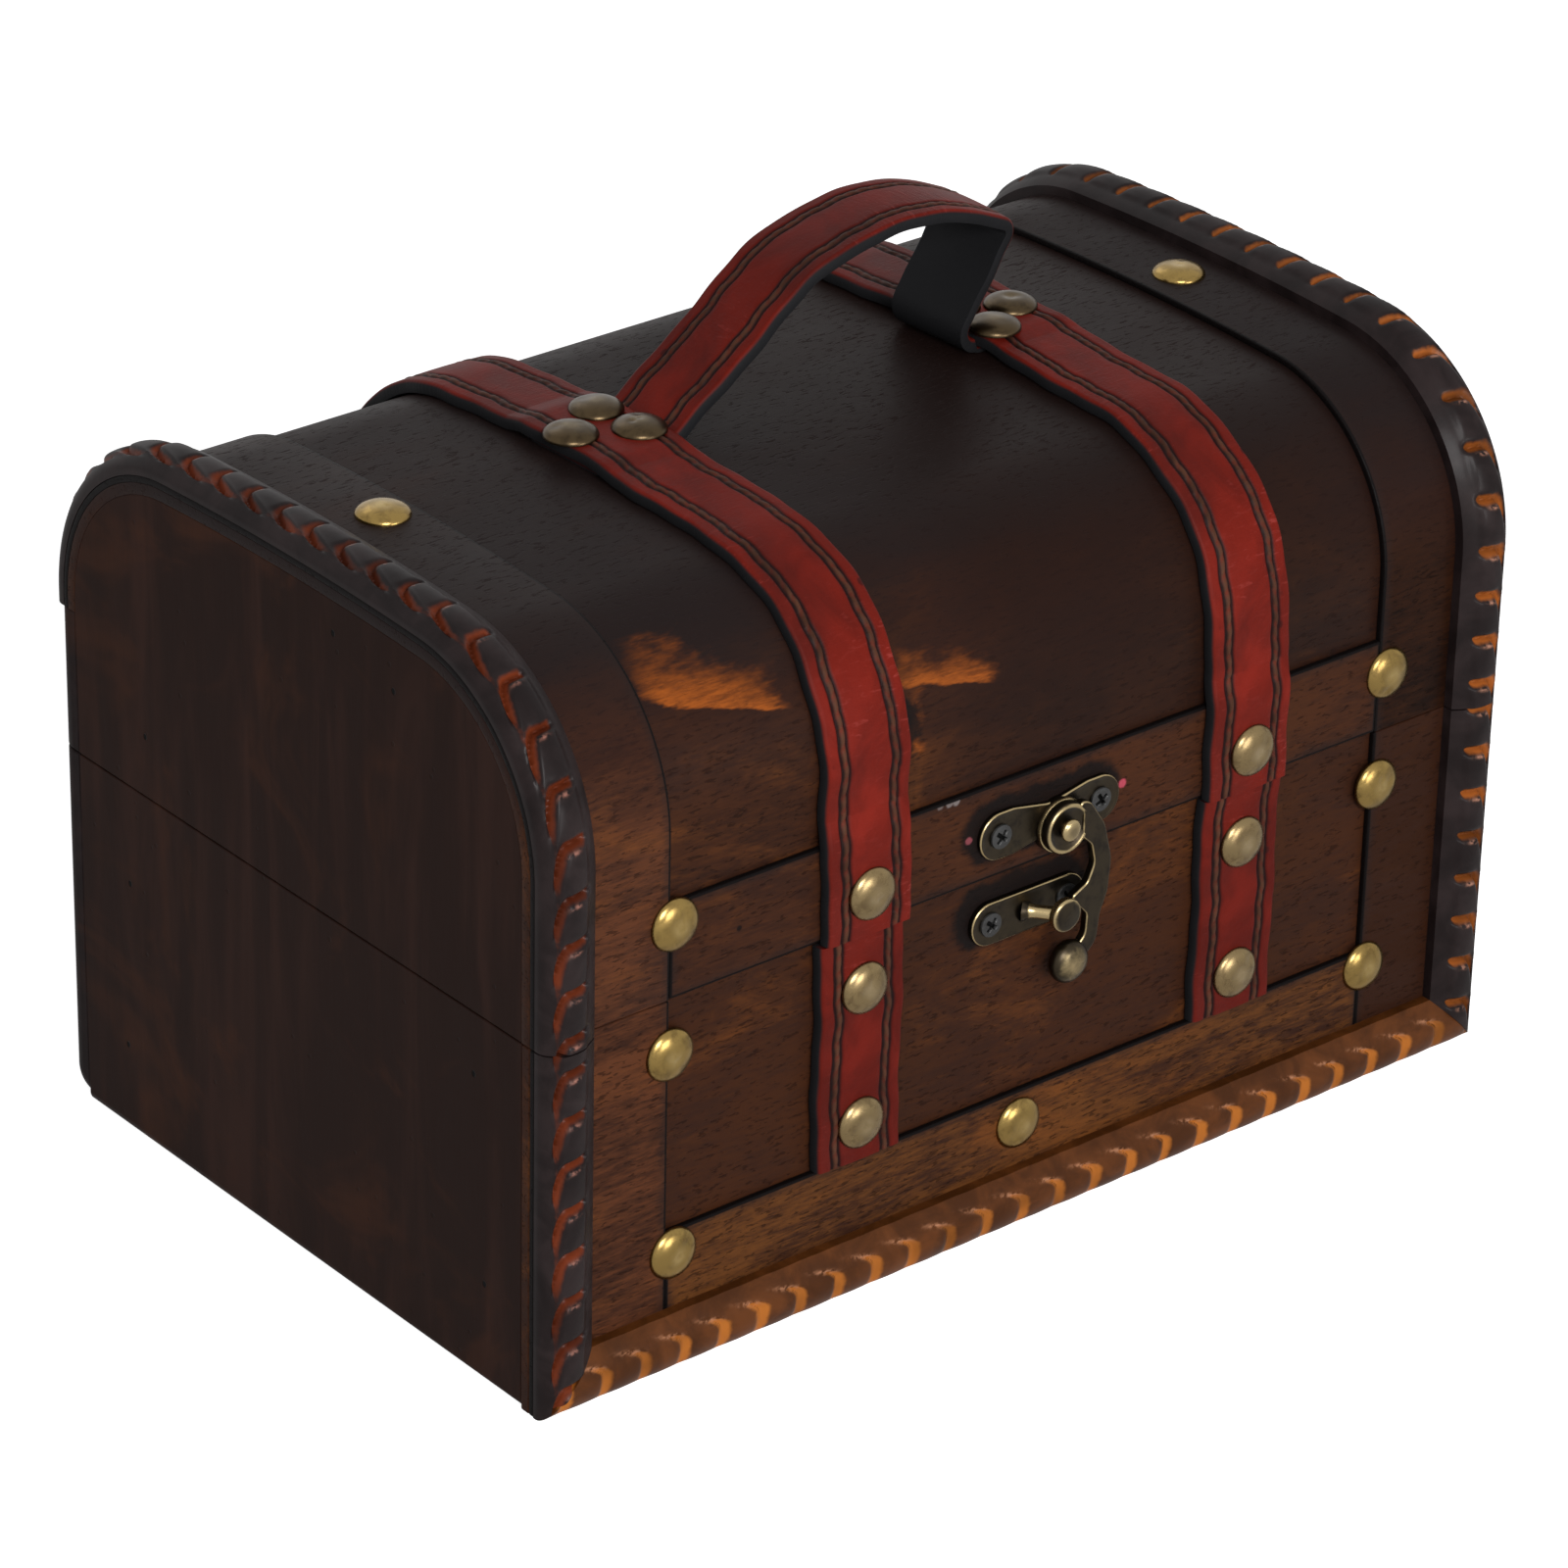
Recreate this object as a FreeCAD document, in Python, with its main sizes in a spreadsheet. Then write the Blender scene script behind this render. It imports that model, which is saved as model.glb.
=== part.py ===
import FreeCAD, Part
import math
import os
import re

import Sketcher

# A keepsake chest with an arched lid.  Base and lid are boxes of thin boards faced with ply.  Raised
# stiles and rails frame the front, a lobed half round moulding trims the corners and follows the arch
# at both ends, two leather straps run over the lid, and a leather handle is nailed beneath them.
# Two butt hinges carry the lid at the back and a swinging hook holds it at the front.
#
# The chest's length is along X, its front faces -Y, and Z = 0 is the face it stands on.
# All sizes are in millimetres, and angles in degrees.

SIZES = {
    # carcass
    "length": 220.0,           # over the end boards
    "half_depth": 67.4,        # from the middle plane to the face of the front panel
    "seam_height": 71.7,       # top edge of the base
    "seam_gap": 0.3,           # gap between base and lid
    "skin_top": 135.4,         # top of the bent lid skin
    "arch_radius": 32.0,       # outer radius of the skin at the shoulders
    "crown_radius": 700.0,     # outer radius of the skin over the top
    "ply": 2.2,                # front panel and lid skin
    "end_board": 7.0,
    "front_board": 5.0,
    "back_board": 6.5,
    "back_top": 100.0,         # top edge of the lid's back board
    "floor_board": 3.0,
    "batten_width": 30.0,
    "batten_height": 6.0,
    "corner_round": 4.5,       # standing corners of the back boards
    "sole_round": 6.0,         # lower back edge of the base
    "edge_round": 2.0,         # lower edges of the end boards
    # framing on the front and over the lid
    "overlay": 1.3,
    "stile_width": 28.5,
    "base_rail_height": 26.3,
    "lid_rail_height": 18.3,
    # lobed moulding
    "lobe_width": 11.0,
    "lobe_lip": 0.6,           # height at its outer edge
    "lobe_wall": 3.0,          # height at its inner edge
    "lobe_crest": 4.3,
    "lobe_ridge": 5.0,         # distance of the crest from the outer edge
    "lobe_pitch": 9.0,
    "valley_lean": 16.0,       # how far a valley leans from square
    # leather
    "leather": 3.0,
    "strap_width": 18.5,
    "strap_left": -40.0,       # X of the straps' middle lines
    "strap_right": 48.0,
    "strap_gap": 0.3,          # lower end of a base strap to the rail, upper end to the seam
    "handle_front": -5.0,      # Y of the handle's front edge
    "tail": 1.2,               # thickness of the handle's skived tails
    "tail_play": 0.15,         # from a tail's shoulder to the edge of its strap
    # domed nails
    "nail_radius": 5.0,
    "nail_dome": 2.0,
    "nail_shank": 1.2,         # side of the square shank
    "nail_length": 7.0,
    # screws
    "screw_radius": 1.9,
    "screw_head": 0.5,
    "screw_shank": 1.3,
    "screw_length": 4.5,
    # butt hinges
    "hinge_spread": 62.0,      # X of the hinges' middles
    "leaf_width": 20.0,
    "leaf_height": 9.5,
    "leaf_plate": 0.8,
    "axis_reach": 2.1,         # from the back face to the hinge axis
    "knuckle_radius": 1.7,
    "knuckle_width": 6.4,
    "knuckle_play": 0.3,
    "pin_radius": 0.8,
    "pin_play": 0.05,
    # swinging hook and its plates
    "pivot_x": 4.2,
    "pivot_height": 78.4,
    "latch_x": 2.2,
    "latch_height": 80.2,
    "latch_spacing": 23.0,     # between the screws of the upper plate
    "latch_end": 4.6,
    "latch_lobe": 8.5,         # from the middle to where its lobes begin
    "latch_waist": 1.7,        # how far it is drawn in between them
    "latch_bend": 6.0,
    "latch_plate": 1.0,
    "boss_radius": 5.2,
    "boss_height": 1.9,
    "hook_play": 0.3,
    "hook_plate": 1.5,
    "hook_half": 1.75,         # half the width of the arm
    "ring_radius": 4.7,
    "rivet_radius": 1.5,
    "rivet_head": 2.1,
    "rivet_dome": 1.0,
    "knob_across": 0.3,        # from the pivot to the middle of the knob
    "knob_drop": 26.0,
    "knob_radius": 4.1,
    "knob_rim": 0.8,
    "knob_face": 2.4,          # radius of its flat faces
    "knob_slope": 1.5,
    "catch_x": -1.1,
    "catch_height": 62.5,
    "catch_spacing": 17.6,
    "catch_end": 4.2,
    "catch_plate": 1.2,
    "peg_foot": -1.9,          # X where the slanted peg leaves its plate
    "peg_head": 2.9,           # X of the middle of its head
    "peg_radius": 1.3,
    "peg_disc": 3.2,
    "peg_thick": 2.0,
    "peg_reach": 5.4,          # from the panel to the back of the head
}

# Domed nails, as seen on the face that they are driven into.
BASE_WOOD_NAILS = [(-81.4, 61.4), (-80.1, 21.8), (-1.8, 19.7), (82.5, 23.1), (82.6, 61.0)]
LID_WOOD_NAILS = [(-80.7, 86.2), (83.6, 83.4)]
TOP_WOOD_NAILS = [(-87.9, 2.9), (90.3, -1.6)]
BASE_STRAP_NAILS = [61.0, 34.2]
LID_STRAP_NAIL = 80.0
HANDLE_NAILS = [("strap_left", [(3.5, 10.1), (-6.5, 4.4), (4.6, -0.7)]),
                ("strap_right", [(3.4, 1.1), (-5.2, -4.4), (-5.4, 6.6)])]

FRONT_WAY = FreeCAD.Rotation(FreeCAD.Vector(0, 0, 1), FreeCAD.Vector(0, -1, 0))
BACK_WAY = FreeCAD.Rotation(FreeCAD.Vector(0, 0, 1), FreeCAD.Vector(0, 1, 0))
UP_WAY = FreeCAD.Rotation()
SIDES = (("left", -1), ("right", 1))

doc = FreeCAD.newDocument("keepsake_chest")
sheet = doc.addObject("Spreadsheet::Sheet", "Sizes")
for row, (alias, number) in enumerate(SIZES.items(), start=1):
    sheet.set("A%d" % row, alias)
    sheet.set("B%d" % row, str(number))
    sheet.setAlias("B%d" % row, alias)
doc.recompute()

nodes = {}                     # node name: the object that holds its solid


def size(alias):
    """The number in a cell of the sheet."""
    return float(sheet.get(alias))


def bind(thing, prop, text):
    """Bind a property to a formula written with the aliases of the sheet."""
    def cell(word):
        return "Sizes." + word[0] if word[0] in SIZES else word[0]
    thing.setExpression(prop, re.sub(r"[a-z_]+", cell, text))


def keep(name, thing):
    thing.Label = name
    nodes[name] = thing
    return thing


# Sketches and features

def new_body(name):
    body = doc.addObject("PartDesign::Body", name)
    body.Label = name
    return body


def sketch_on(body, role, offset="0"):
    """A sketch on one of the body's own planes, moved along the plane's normal by a formula."""
    sketch = body.newObject("Sketcher::SketchObject", body.Name + "_sketch")
    plane = next(item for item in body.Origin.OriginFeatures if item.Role == role)
    sketch.AttachmentSupport = [(plane, "")]
    sketch.MapMode = "FlatFace"
    bind(sketch, "AttachmentOffset.Base.z", offset)
    return sketch


def add_feature(body, kind, sketch, length):
    """A pad or a pocket of a sketch, its length given as a formula."""
    feature = body.newObject("PartDesign::" + kind, body.Name + "_" + kind.lower())
    feature.Profile = sketch
    bind(feature, "Length", length)
    sketch.Visibility = False
    return feature


def hold(sketch, axis, geometry, point, text):
    """Hold a point at a distance from the sketch's origin, given as a formula."""
    index = sketch.addConstraint(Sketcher.Constraint(axis, -1, 1, geometry, point, 1.0))
    bind(sketch, "Constraints[%d]" % index, text)


def draw_rectangle(sketch, low_x, high_x, low_y, high_y):
    """A rectangle whose four sides are formulas."""
    corners = [FreeCAD.Vector(x, y, 0) for x, y in ((0, 0), (9, 0), (9, 9), (0, 9))]
    for number in range(4):
        sketch.addGeometry(Part.LineSegment(corners[number], corners[(number + 1) % 4]), False)
    for number in range(4):
        following = (number + 1) % 4
        sketch.addConstraint(Sketcher.Constraint("Coincident", number, 2, following, 1))
        sketch.addConstraint(Sketcher.Constraint("Vertical" if number % 2 else "Horizontal", number))
    hold(sketch, "DistanceX", 0, 1, low_x)
    hold(sketch, "DistanceY", 0, 1, low_y)
    hold(sketch, "DistanceX", 2, 1, high_x)
    hold(sketch, "DistanceY", 2, 1, high_y)


def draw_circle(sketch, x, y, radius):
    """A circle whose centre and radius are formulas."""
    circle = Part.Circle(FreeCAD.Vector(1, 1, 0), FreeCAD.Vector(0, 0, 1), 1)
    number = sketch.addGeometry(circle, False)
    hold(sketch, "DistanceX", number, 3, x)
    hold(sketch, "DistanceY", number, 3, y)
    index = sketch.addConstraint(Sketcher.Constraint("Radius", number, 1.0))
    bind(sketch, "Constraints[%d]" % index, radius)


def draw_chain(sketch, curves):
    """A closed run of lines and arcs, each joined to the next where their ends meet."""
    sketch.addGeometry(curves, False)
    for number, curve in enumerate(curves):
        following = (number + 1) % len(curves)
        meetings = []
        for here, point in ((1, curve.StartPoint), (2, curve.EndPoint)):
            for there, other in ((1, curves[following].StartPoint), (2, curves[following].EndPoint)):
                meetings.append((point.distanceToPoint(other), here, there))
        gap, here, there = min(meetings)
        sketch.addConstraint(Sketcher.Constraint("Coincident", number, here, following, there))


def polygon(points):
    """The sides of a closed polygon given as (x, y) corners."""
    corners = [FreeCAD.Vector(x, y, 0) for x, y in points]
    return [Part.LineSegment(corners[number - 1], corner) for number, corner in enumerate(corners)]


def pad_outline(name, role, offset, curves, length):
    """A body padded from a closed outline."""
    body = new_body(name)
    sketch = sketch_on(body, role, offset)
    draw_chain(sketch, curves)
    add_feature(body, "Pad", sketch, length)
    return keep(name, body)


def round_edges(body, radius, wanted):
    """Fillet the edges of a body whose middle point passes a test."""
    doc.recompute()
    tip = body.Tip
    found = []
    for number, edge in enumerate(tip.Shape.Edges, start=1):
        if wanted(edge.CenterOfMass):
            found.append("Edge%d" % number)
    fillet = body.newObject("PartDesign::Fillet", body.Name + "_fillet")
    fillet.Base = (tip, found)
    bind(fillet, "Radius", radius)


# Routes: runs of straight lines whose corners are rounded by arcs

def route_steps(points, closed=False):
    """Turn (x, y, radius) corners into steps: (centre or None, start, end).

    A corner's arc touches both of its lines, radius * tan(half the turn) from the corner."""
    count = len(points)
    corners = []
    for number, (x, y, radius) in enumerate(points):
        here = FreeCAD.Vector(x, y, 0)
        if radius == 0:
            corners.append((None, here, here))
            continue
        before = FreeCAD.Vector(*points[number - 1][:2], 0)
        after = FreeCAD.Vector(*points[(number + 1) % count][:2], 0)
        arriving = (here - before).normalize()
        leaving = (after - here).normalize()
        turn = math.atan2(arriving.cross(leaving).z, arriving.dot(leaving))
        reach = radius * math.tan(abs(turn) / 2)
        start = here - arriving * reach
        side = FreeCAD.Vector(-arriving.y, arriving.x, 0) * math.copysign(radius, turn)
        corners.append((start + side, start, here + leaving * reach))
    steps = []
    for number in range(count if closed else count - 1):
        following = corners[(number + 1) % count]
        steps.append((None, corners[number][2], following[1]))
        steps.append(following)
    return [step for step in steps if step[1].distanceToPoint(step[2]) > 1e-6]


def turns_left(step):
    centre, start, end = step
    return (start - centre).cross(end - centre).z > 0


def step_curve(step):
    """The line or arc of one step."""
    centre, start, end = step
    if centre is None:
        return Part.LineSegment(start, end)
    if not turns_left(step):
        start, end = end, start
    first = math.atan2(start.y - centre.y, start.x - centre.x)
    last = math.atan2(end.y - centre.y, end.x - centre.x)
    circle = Part.Circle(centre, FreeCAD.Vector(0, 0, 1), centre.distanceToPoint(start))
    return Part.ArcOfCircle(circle, first, last if last > first else last + 2 * math.pi)


def shifted(step, distance):
    """A step moved sideways, to the left of its direction."""
    centre, start, end = step
    if centre is None:
        along = (end - start).normalize()
        side = FreeCAD.Vector(-along.y, along.x, 0) * distance
        return (None, start + side, end + side)
    radius = centre.distanceToPoint(start)
    scale = 1 - distance / radius if turns_left(step) else 1 + distance / radius
    return (centre, centre + (start - centre) * scale, centre + (end - centre) * scale)


def band_outline(route, right, left):
    """The outline of a strip that follows a route, from its right side to its left side."""
    steps = route_steps(route)
    one = [shifted(step, -right) for step in steps]
    other = [shifted(step, left) for step in steps]
    back = [(centre, end, start) for centre, start, end in reversed(other)]
    closed = one + [(None, one[-1][2], back[0][1])] + back + [(None, back[-1][2], one[0][1])]
    return [step_curve(step) for step in closed]


def step_length(step):
    centre, start, end = step
    chord = start.distanceToPoint(end)
    if centre is None:
        return chord
    radius = centre.distanceToPoint(start)
    return 2 * radius * math.asin(chord / 2 / radius)


def point_along(steps, distance):
    """The point and the direction at a distance along a route's steps."""
    for step in steps:
        reach = step_length(step)
        if distance <= reach:
            break
        distance -= reach
    centre, start, end = step
    if centre is None:
        direction = (end - start).normalize()
        return start + direction * distance, direction
    spoke = start - centre
    angle = distance / spoke.Length * (1 if turns_left(step) else -1)
    turn = FreeCAD.Rotation(FreeCAD.Vector(0, 0, 1), math.degrees(angle))
    spoke = turn.multVec(spoke)
    direction = FreeCAD.Vector(-spoke.y, spoke.x, 0).normalize() * math.copysign(1, angle)
    return centre + spoke, direction


# Flat boards

INSIDE = "(length / 2 - end_board)"
END_FACE = "(length / 2)"
SEAT = "(half_depth - ply)"                    # the planes that the end boards reach at front and back
BACK_FACE = "(half_depth - ply + back_board)"
LID_FOOT = "(seam_height + seam_gap)"
FRAME_INSIDE = "(length / 2 - stile_width)"
FRAME_FACE = "(half_depth + overlay)"


def board(name, role, sides, offset, thickness):
    """A flat board: a rectangle on one plane, padded by its thickness."""
    body = new_body(name)
    sketch = sketch_on(body, role, offset)
    draw_rectangle(sketch, *sides)
    add_feature(body, "Pad", sketch, thickness)
    return keep(name, body)


def make_front_boards():
    """The boards that lie flat in the front: each offset is how far its inner face is from Y = 0."""
    seam, behind = "seam_height", SEAT + " - front_board"
    board("base_front_board", "XZ_Plane", ("-" + INSIDE, INSIDE, "0", seam), behind, "front_board")
    board("base_front_panel", "XZ_Plane", ("-" + END_FACE, END_FACE, "0", seam), SEAT, "ply")
    board("base_stile_left", "XZ_Plane", ("-" + END_FACE, "-" + FRAME_INSIDE, "0", seam),
          "half_depth", "overlay")
    board("base_stile_right", "XZ_Plane", (FRAME_INSIDE, END_FACE, "0", seam), "half_depth", "overlay")
    board("base_rail", "XZ_Plane", ("-" + FRAME_INSIDE, FRAME_INSIDE, "0", "base_rail_height"),
          "half_depth", "overlay")
    board("lid_front_board", "XZ_Plane", ("-" + INSIDE, INSIDE, LID_FOOT, "back_top"),
          behind, "front_board")
    board("lid_rail", "XZ_Plane", ("-" + FRAME_INSIDE, FRAME_INSIDE, LID_FOOT,
                                   LID_FOOT + " + lid_rail_height"), "half_depth", "overlay")


def make_back_boards():
    """The boards across the back lap over the end boards, and their outer corners are rounded."""
    outside = size("half_depth") - size("ply") + size("back_board") - 0.01
    half = size("length") / 2
    low = board("base_back_board", "XZ_Plane", ("-" + END_FACE, END_FACE, "0", "seam_height"),
                "-" + BACK_FACE, "back_board")
    round_edges(low, "sole_round", lambda at: at.y > outside and at.z < 1)
    round_edges(low, "corner_round", lambda at: at.y > outside and abs(at.x) > half - 1 and at.z > 9)
    high = board("lid_back_board", "XZ_Plane", ("-" + END_FACE, END_FACE, LID_FOOT, "back_top"),
                 "-" + BACK_FACE, "back_board")
    round_edges(high, "corner_round", lambda at: at.y > outside and abs(at.x) > half - 1)


def make_inner_boards():
    board("base_floor", "XY_Plane", ("-" + INSIDE, INSIDE, "front_board - " + SEAT, SEAT),
          "0", "floor_board")
    for word, side in SIDES:
        end = board("base_end_" + word, "YZ_Plane", ("-" + SEAT, SEAT, "0", "seam_height"),
                    INSIDE if side > 0 else "-" + END_FACE, "end_board")
        face = size("length") / 2 - 1
        round_edges(end, "edge_round", lambda at: at.z < 1 and abs(at.x) > face)


# The arch of the lid

lid_foot = size("seam_height") + size("seam_gap")
back_top = size("back_top")


def arch_points(offset, back_end):
    """The lid's outline at a distance outside the skin: up the front, over the top, down the back.

    The crown's arc meets each shoulder's arc where both lean by the same angle, so the outline is
    drawn as four lines, two standing and two leaning, whose three corners are rounded."""
    reach = size("half_depth") + offset
    shoulder = size("arch_radius")
    crown = size("crown_radius")
    lean = math.asin((size("half_depth") - shoulder) / (crown - shoulder))
    peak = size("skin_top") - crown + (crown + offset) / math.cos(lean)
    corner = peak - reach * math.tan(lean)
    return [(-reach, lid_foot, 0), (-reach, corner, shoulder + offset), (0, peak, crown + offset),
            (reach, corner, shoulder + offset), (reach, back_end, 0)]


def arch_strip(name, low_x, width, inner, outer):
    """A bent strip over the lid, between two distances outside the skin's outer face."""
    return pad_outline(name, "YZ_Plane", low_x, band_outline(arch_points(0, back_top), -inner, outer),
                       width)


def make_arch():
    arch_strip("lid_skin", "-" + END_FACE, "length", -size("ply"), 0)
    arch_strip("lid_stile_left", "-" + END_FACE, "stile_width", 0, size("overlay"))
    arch_strip("lid_stile_right", FRAME_INSIDE, "stile_width", 0, size("overlay"))
    outline = route_steps(arch_points(-size("ply"), lid_foot), closed=True)
    for word, side in SIDES:
        pad_outline("lid_end_" + word, "YZ_Plane", INSIDE if side > 0 else "-" + END_FACE,
                    [step_curve(step) for step in outline], "end_board")


def make_top_batten():
    """A batten along the middle of the lid, its top crowned to the skin's under face."""
    half, under = size("batten_width") / 2, size("skin_top") - size("ply")
    radius = size("crown_radius") - size("ply")
    centre = FreeCAD.Vector(0, under - radius, 0)
    edge = centre.y + math.sqrt(radius * radius - half * half)
    low = under - size("batten_height")
    corners = [FreeCAD.Vector(x, y, 0) for x, y in ((-half, low), (half, low), (half, edge), (-half, edge))]
    steps = [(None, corners[0], corners[1]), (None, corners[1], corners[2]),
             (centre, corners[2], corners[3]), (None, corners[3], corners[0])]
    pad_outline("lid_top_batten", "YZ_Plane", "-" + INSIDE, [step_curve(step) for step in steps],
                "2 * " + INSIDE)


# The lobed moulding

def lobe_section():
    """(across, out) corners: a quarter round up to the crest, then a flatter fall to the inner edge."""
    lip, wall, crest = size("lobe_lip"), size("lobe_wall"), size("lobe_crest")
    ridge, width = size("lobe_ridge"), size("lobe_width")
    points = [(0, 0)]
    for angle in (0, 45, 90):
        turn = math.radians(angle)
        points.append((ridge * (1 - math.cos(turn)), lip + (crest - lip) * math.sin(turn)))
    points.append((width, wall))
    points.append((width, 0))
    return points


def valley(foot, across, out, along):
    """A wedge that scoops one valley: deep at the outer edge and fading out past the crest."""
    crest, ridge = size("lobe_crest"), size("lobe_ridge")
    lean = math.tan(math.radians(size("valley_lean")))
    outer, inner = -1.0, ridge * 1.6
    low = foot + across * outer + out * (crest * 0.05) + along * (lean * (outer - ridge))
    high = foot + across * inner + out * (crest * 1.08) + along * (lean * (inner - ridge))
    rise = out * crest
    corners = [low, low + rise + along * crest, low + rise - along * crest, low]
    return Part.Face(Part.makePolygon(corners)).extrude(high - low)


def cut_valleys(name, blank, wedges):
    """Cut the valleys between the lobes into a plain moulding."""
    cutters = doc.addObject("Part::Feature", name + "_valleys")
    cutters.Shape = Part.makeCompound(wedges)
    cut = doc.addObject("Part::Cut", name)
    cut.Base = blank
    cut.Tool = cutters
    keep(name, cut)


def lobe_places(run):
    """Distances of the valleys along a moulding, evenly spaced at about the pitch."""
    count = round(run / size("lobe_pitch"))
    return [run * (number + 0.5) / count for number in range(count)]


def make_straight_mouldings():
    """The standing mouldings and the one along the foot, mitred where they meet."""
    face, half = size("half_depth") + size("overlay"), size("length") / 2
    width, seam = size("lobe_width"), size("seam_height")
    out, up = FreeCAD.Vector(0, -1, 0), FreeCAD.Vector(0, 0, 1)
    in_front = FRAME_FACE + " + 2 * lobe_crest"
    for word, side in SIDES:
        name = "base_moulding_" + word
        blank = new_body(name + "_blank")
        section = sketch_on(blank, "XY_Plane")
        draw_chain(section, polygon([(side * (half - u), -face - v) for u, v in lobe_section()]))
        add_feature(blank, "Pad", section, "seam_height")
        mitre = sketch_on(blank, "XZ_Plane", in_front)
        draw_chain(mitre, polygon([(side * (half + 1), -1), (side * (half - width - 1), width + 1),
                                   (side * (half - width - 1), -1)]))
        add_feature(blank, "Pocket", mitre, "3 * lobe_crest")
        inward = FreeCAD.Vector(-side, 0, 0)
        cut_valleys(name, blank, [valley(FreeCAD.Vector(side * half, -face, height), inward, out, up)
                                  for height in lobe_places(seam) if height > width / 2])
    blank = new_body("base_moulding_bottom_blank")
    section = sketch_on(blank, "YZ_Plane", "-" + END_FACE)
    draw_chain(section, polygon([(-face - v, u) for u, v in lobe_section()]))
    add_feature(blank, "Pad", section, "length")
    for word, side in SIDES:
        mitre = sketch_on(blank, "XZ_Plane", in_front)
        draw_chain(mitre, polygon([(side * (half + 1), -1), (side * (half + 1), width + 1),
                                   (side * (half - width - 1), width + 1)]))
        add_feature(blank, "Pocket", mitre, "3 * lobe_crest")
    along = FreeCAD.Vector(1, 0, 0)
    cut_valleys("base_moulding_bottom", blank,
                [valley(FreeCAD.Vector(place - half, -face, 0), up, out, along)
                 for place in lobe_places(2 * half) if width / 2 < place < 2 * half - width / 2])


def make_arched_mouldings():
    """The mouldings that follow the arch at both ends of the lid."""
    half, face = size("length") / 2, size("half_depth") + size("overlay")
    steps = route_steps(arch_points(size("overlay"), back_top))
    for word, side in SIDES:
        name = "lid_moulding_" + word
        path = [step_curve(step).toShape() for step in steps]
        section = [FreeCAD.Vector(-face - v, lid_foot, half - u) for u, v in lobe_section()]
        sweep = Part.Wire(path).makePipeShell([Part.makePolygon(section + section[:1])], True, False)
        blank = doc.addObject("Part::Feature", name + "_blank")
        blank.Shape = sweep if side > 0 else sweep.mirror(FreeCAD.Vector(), FreeCAD.Vector(0, 0, 1))
        blank.Placement = FreeCAD.Placement(FreeCAD.Vector(), FreeCAD.Rotation(FreeCAD.Vector(1, 1, 1), 120))
        wedges = []
        for distance in lobe_places(sum(step_length(step) for step in steps)):
            point, direction = point_along(steps, distance)
            wedges.append(valley(FreeCAD.Vector(side * half, point.x, point.y),
                                 FreeCAD.Vector(-side, 0, 0),
                                 FreeCAD.Vector(0, -direction.y, direction.x),
                                 FreeCAD.Vector(0, direction.x, direction.y)))
        cut_valleys(name, blank, wedges)


# Leather

def strap_points():
    """A strap's under face: over the lid rail, round the arch, and raised over the handle's tail."""
    points = arch_points(0, back_top)
    leather, bend = size("leather"), size("leather") + 1
    reach, rail = size("half_depth"), size("overlay")
    rail_top = lid_foot + size("lid_rail_height")
    tail_top = size("skin_top") + size("tail")
    tail_front = size("handle_front")
    tail_back = tail_front + size("strap_width")
    lean = (points[2][1] - points[1][1]) / reach
    front, back = tail_front - 6, tail_back + 6
    return [(-reach - rail, lid_foot, 0), (-reach - rail, rail_top, bend), (-reach, rail_top + 5, bend),
            points[1],
            (front, points[2][1] + lean * front, bend), (tail_front - 1.5, tail_top, bend),
            (tail_back + 1.5, tail_top, bend), (back, points[2][1] - lean * back, bend),
            points[3], points[4]]


def make_straps():
    for word, side in SIDES:
        middle = "strap_" + word
        board("base_strap_" + word, "XZ_Plane",
              (middle + " - strap_width / 2", middle + " + strap_width / 2",
               "base_rail_height + strap_gap", "seam_height - strap_gap"), "half_depth", "leather")
        pad_outline("lid_strap_" + word, "YZ_Plane", middle + " - strap_width / 2",
                    band_outline(strap_points(), 0, size("leather")), "strap_width")


def make_handle():
    """A folded strap: its right end folds under, and its tails are skived to lie beneath the straps."""
    tail = size("skin_top") + size("leather") / 2
    route = [(-48.0, tail, 0), (-30.85, tail, 4.0), (2.0, 161.8, 26.0), (18.0, 165.2, 50.0),
             (32.3, 164.5, 38.0), (46.5, 158.2, 2.2), (32.2, tail, 3.4), (57.0, tail, 0)]
    half = size("leather") / 2
    handle = pad_outline("handle", "XZ_Plane", "-handle_front - strap_width",
                         band_outline(route, half, half), "strap_width")
    shoulder = "strap_width / 2 + tail_play"
    for low_x, high_x in (("strap_left - strap_width", "strap_left + " + shoulder),
                          ("strap_right - (%s)" % shoulder, "strap_right + strap_width")):
        skive = sketch_on(handle, "XZ_Plane", "1 - handle_front")
        draw_rectangle(skive, low_x, high_x, "skin_top + tail", "skin_top + tail + leather")
        add_feature(handle, "Pocket", skive, "strap_width + 2")


# Nails and screws

def faceted_head(rings):
    """A round head with few faces: flat sides between (radius, height) rings of twelve corners."""
    corners = [[FreeCAD.Vector(radius * math.cos(math.radians(30 * step)),
                               radius * math.sin(math.radians(30 * step)), height)
                for step in range(13)] for radius, height in rings]
    outlines = [corners[0], corners[-1]]
    for low, high in zip(corners, corners[1:]):
        for step in range(12):
            outlines.append([low[step], low[step + 1], high[step + 1], high[step], low[step]])
    faces = [Part.Face(Part.makePolygon(outline)) for outline in outlines]
    return Part.makeSolid(Part.makeShell(faces))


def on_shank(head, side, length):
    """A head on a square shank that ends at a depth below z = 0."""
    return head.fuse(Part.makeBox(side, side, length, FreeCAD.Vector(-side / 2, -side / 2, -length)))


def domed_nail():
    """A domed head whose rim lies in z = 0."""
    rings = []
    for angle in (0, 50):
        turn = math.radians(angle)
        rings.append((size("nail_radius") * math.cos(turn), size("nail_dome") * math.sin(turn)))
    return on_shank(faceted_head(rings), size("nail_shank"), size("nail_length"))


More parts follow.
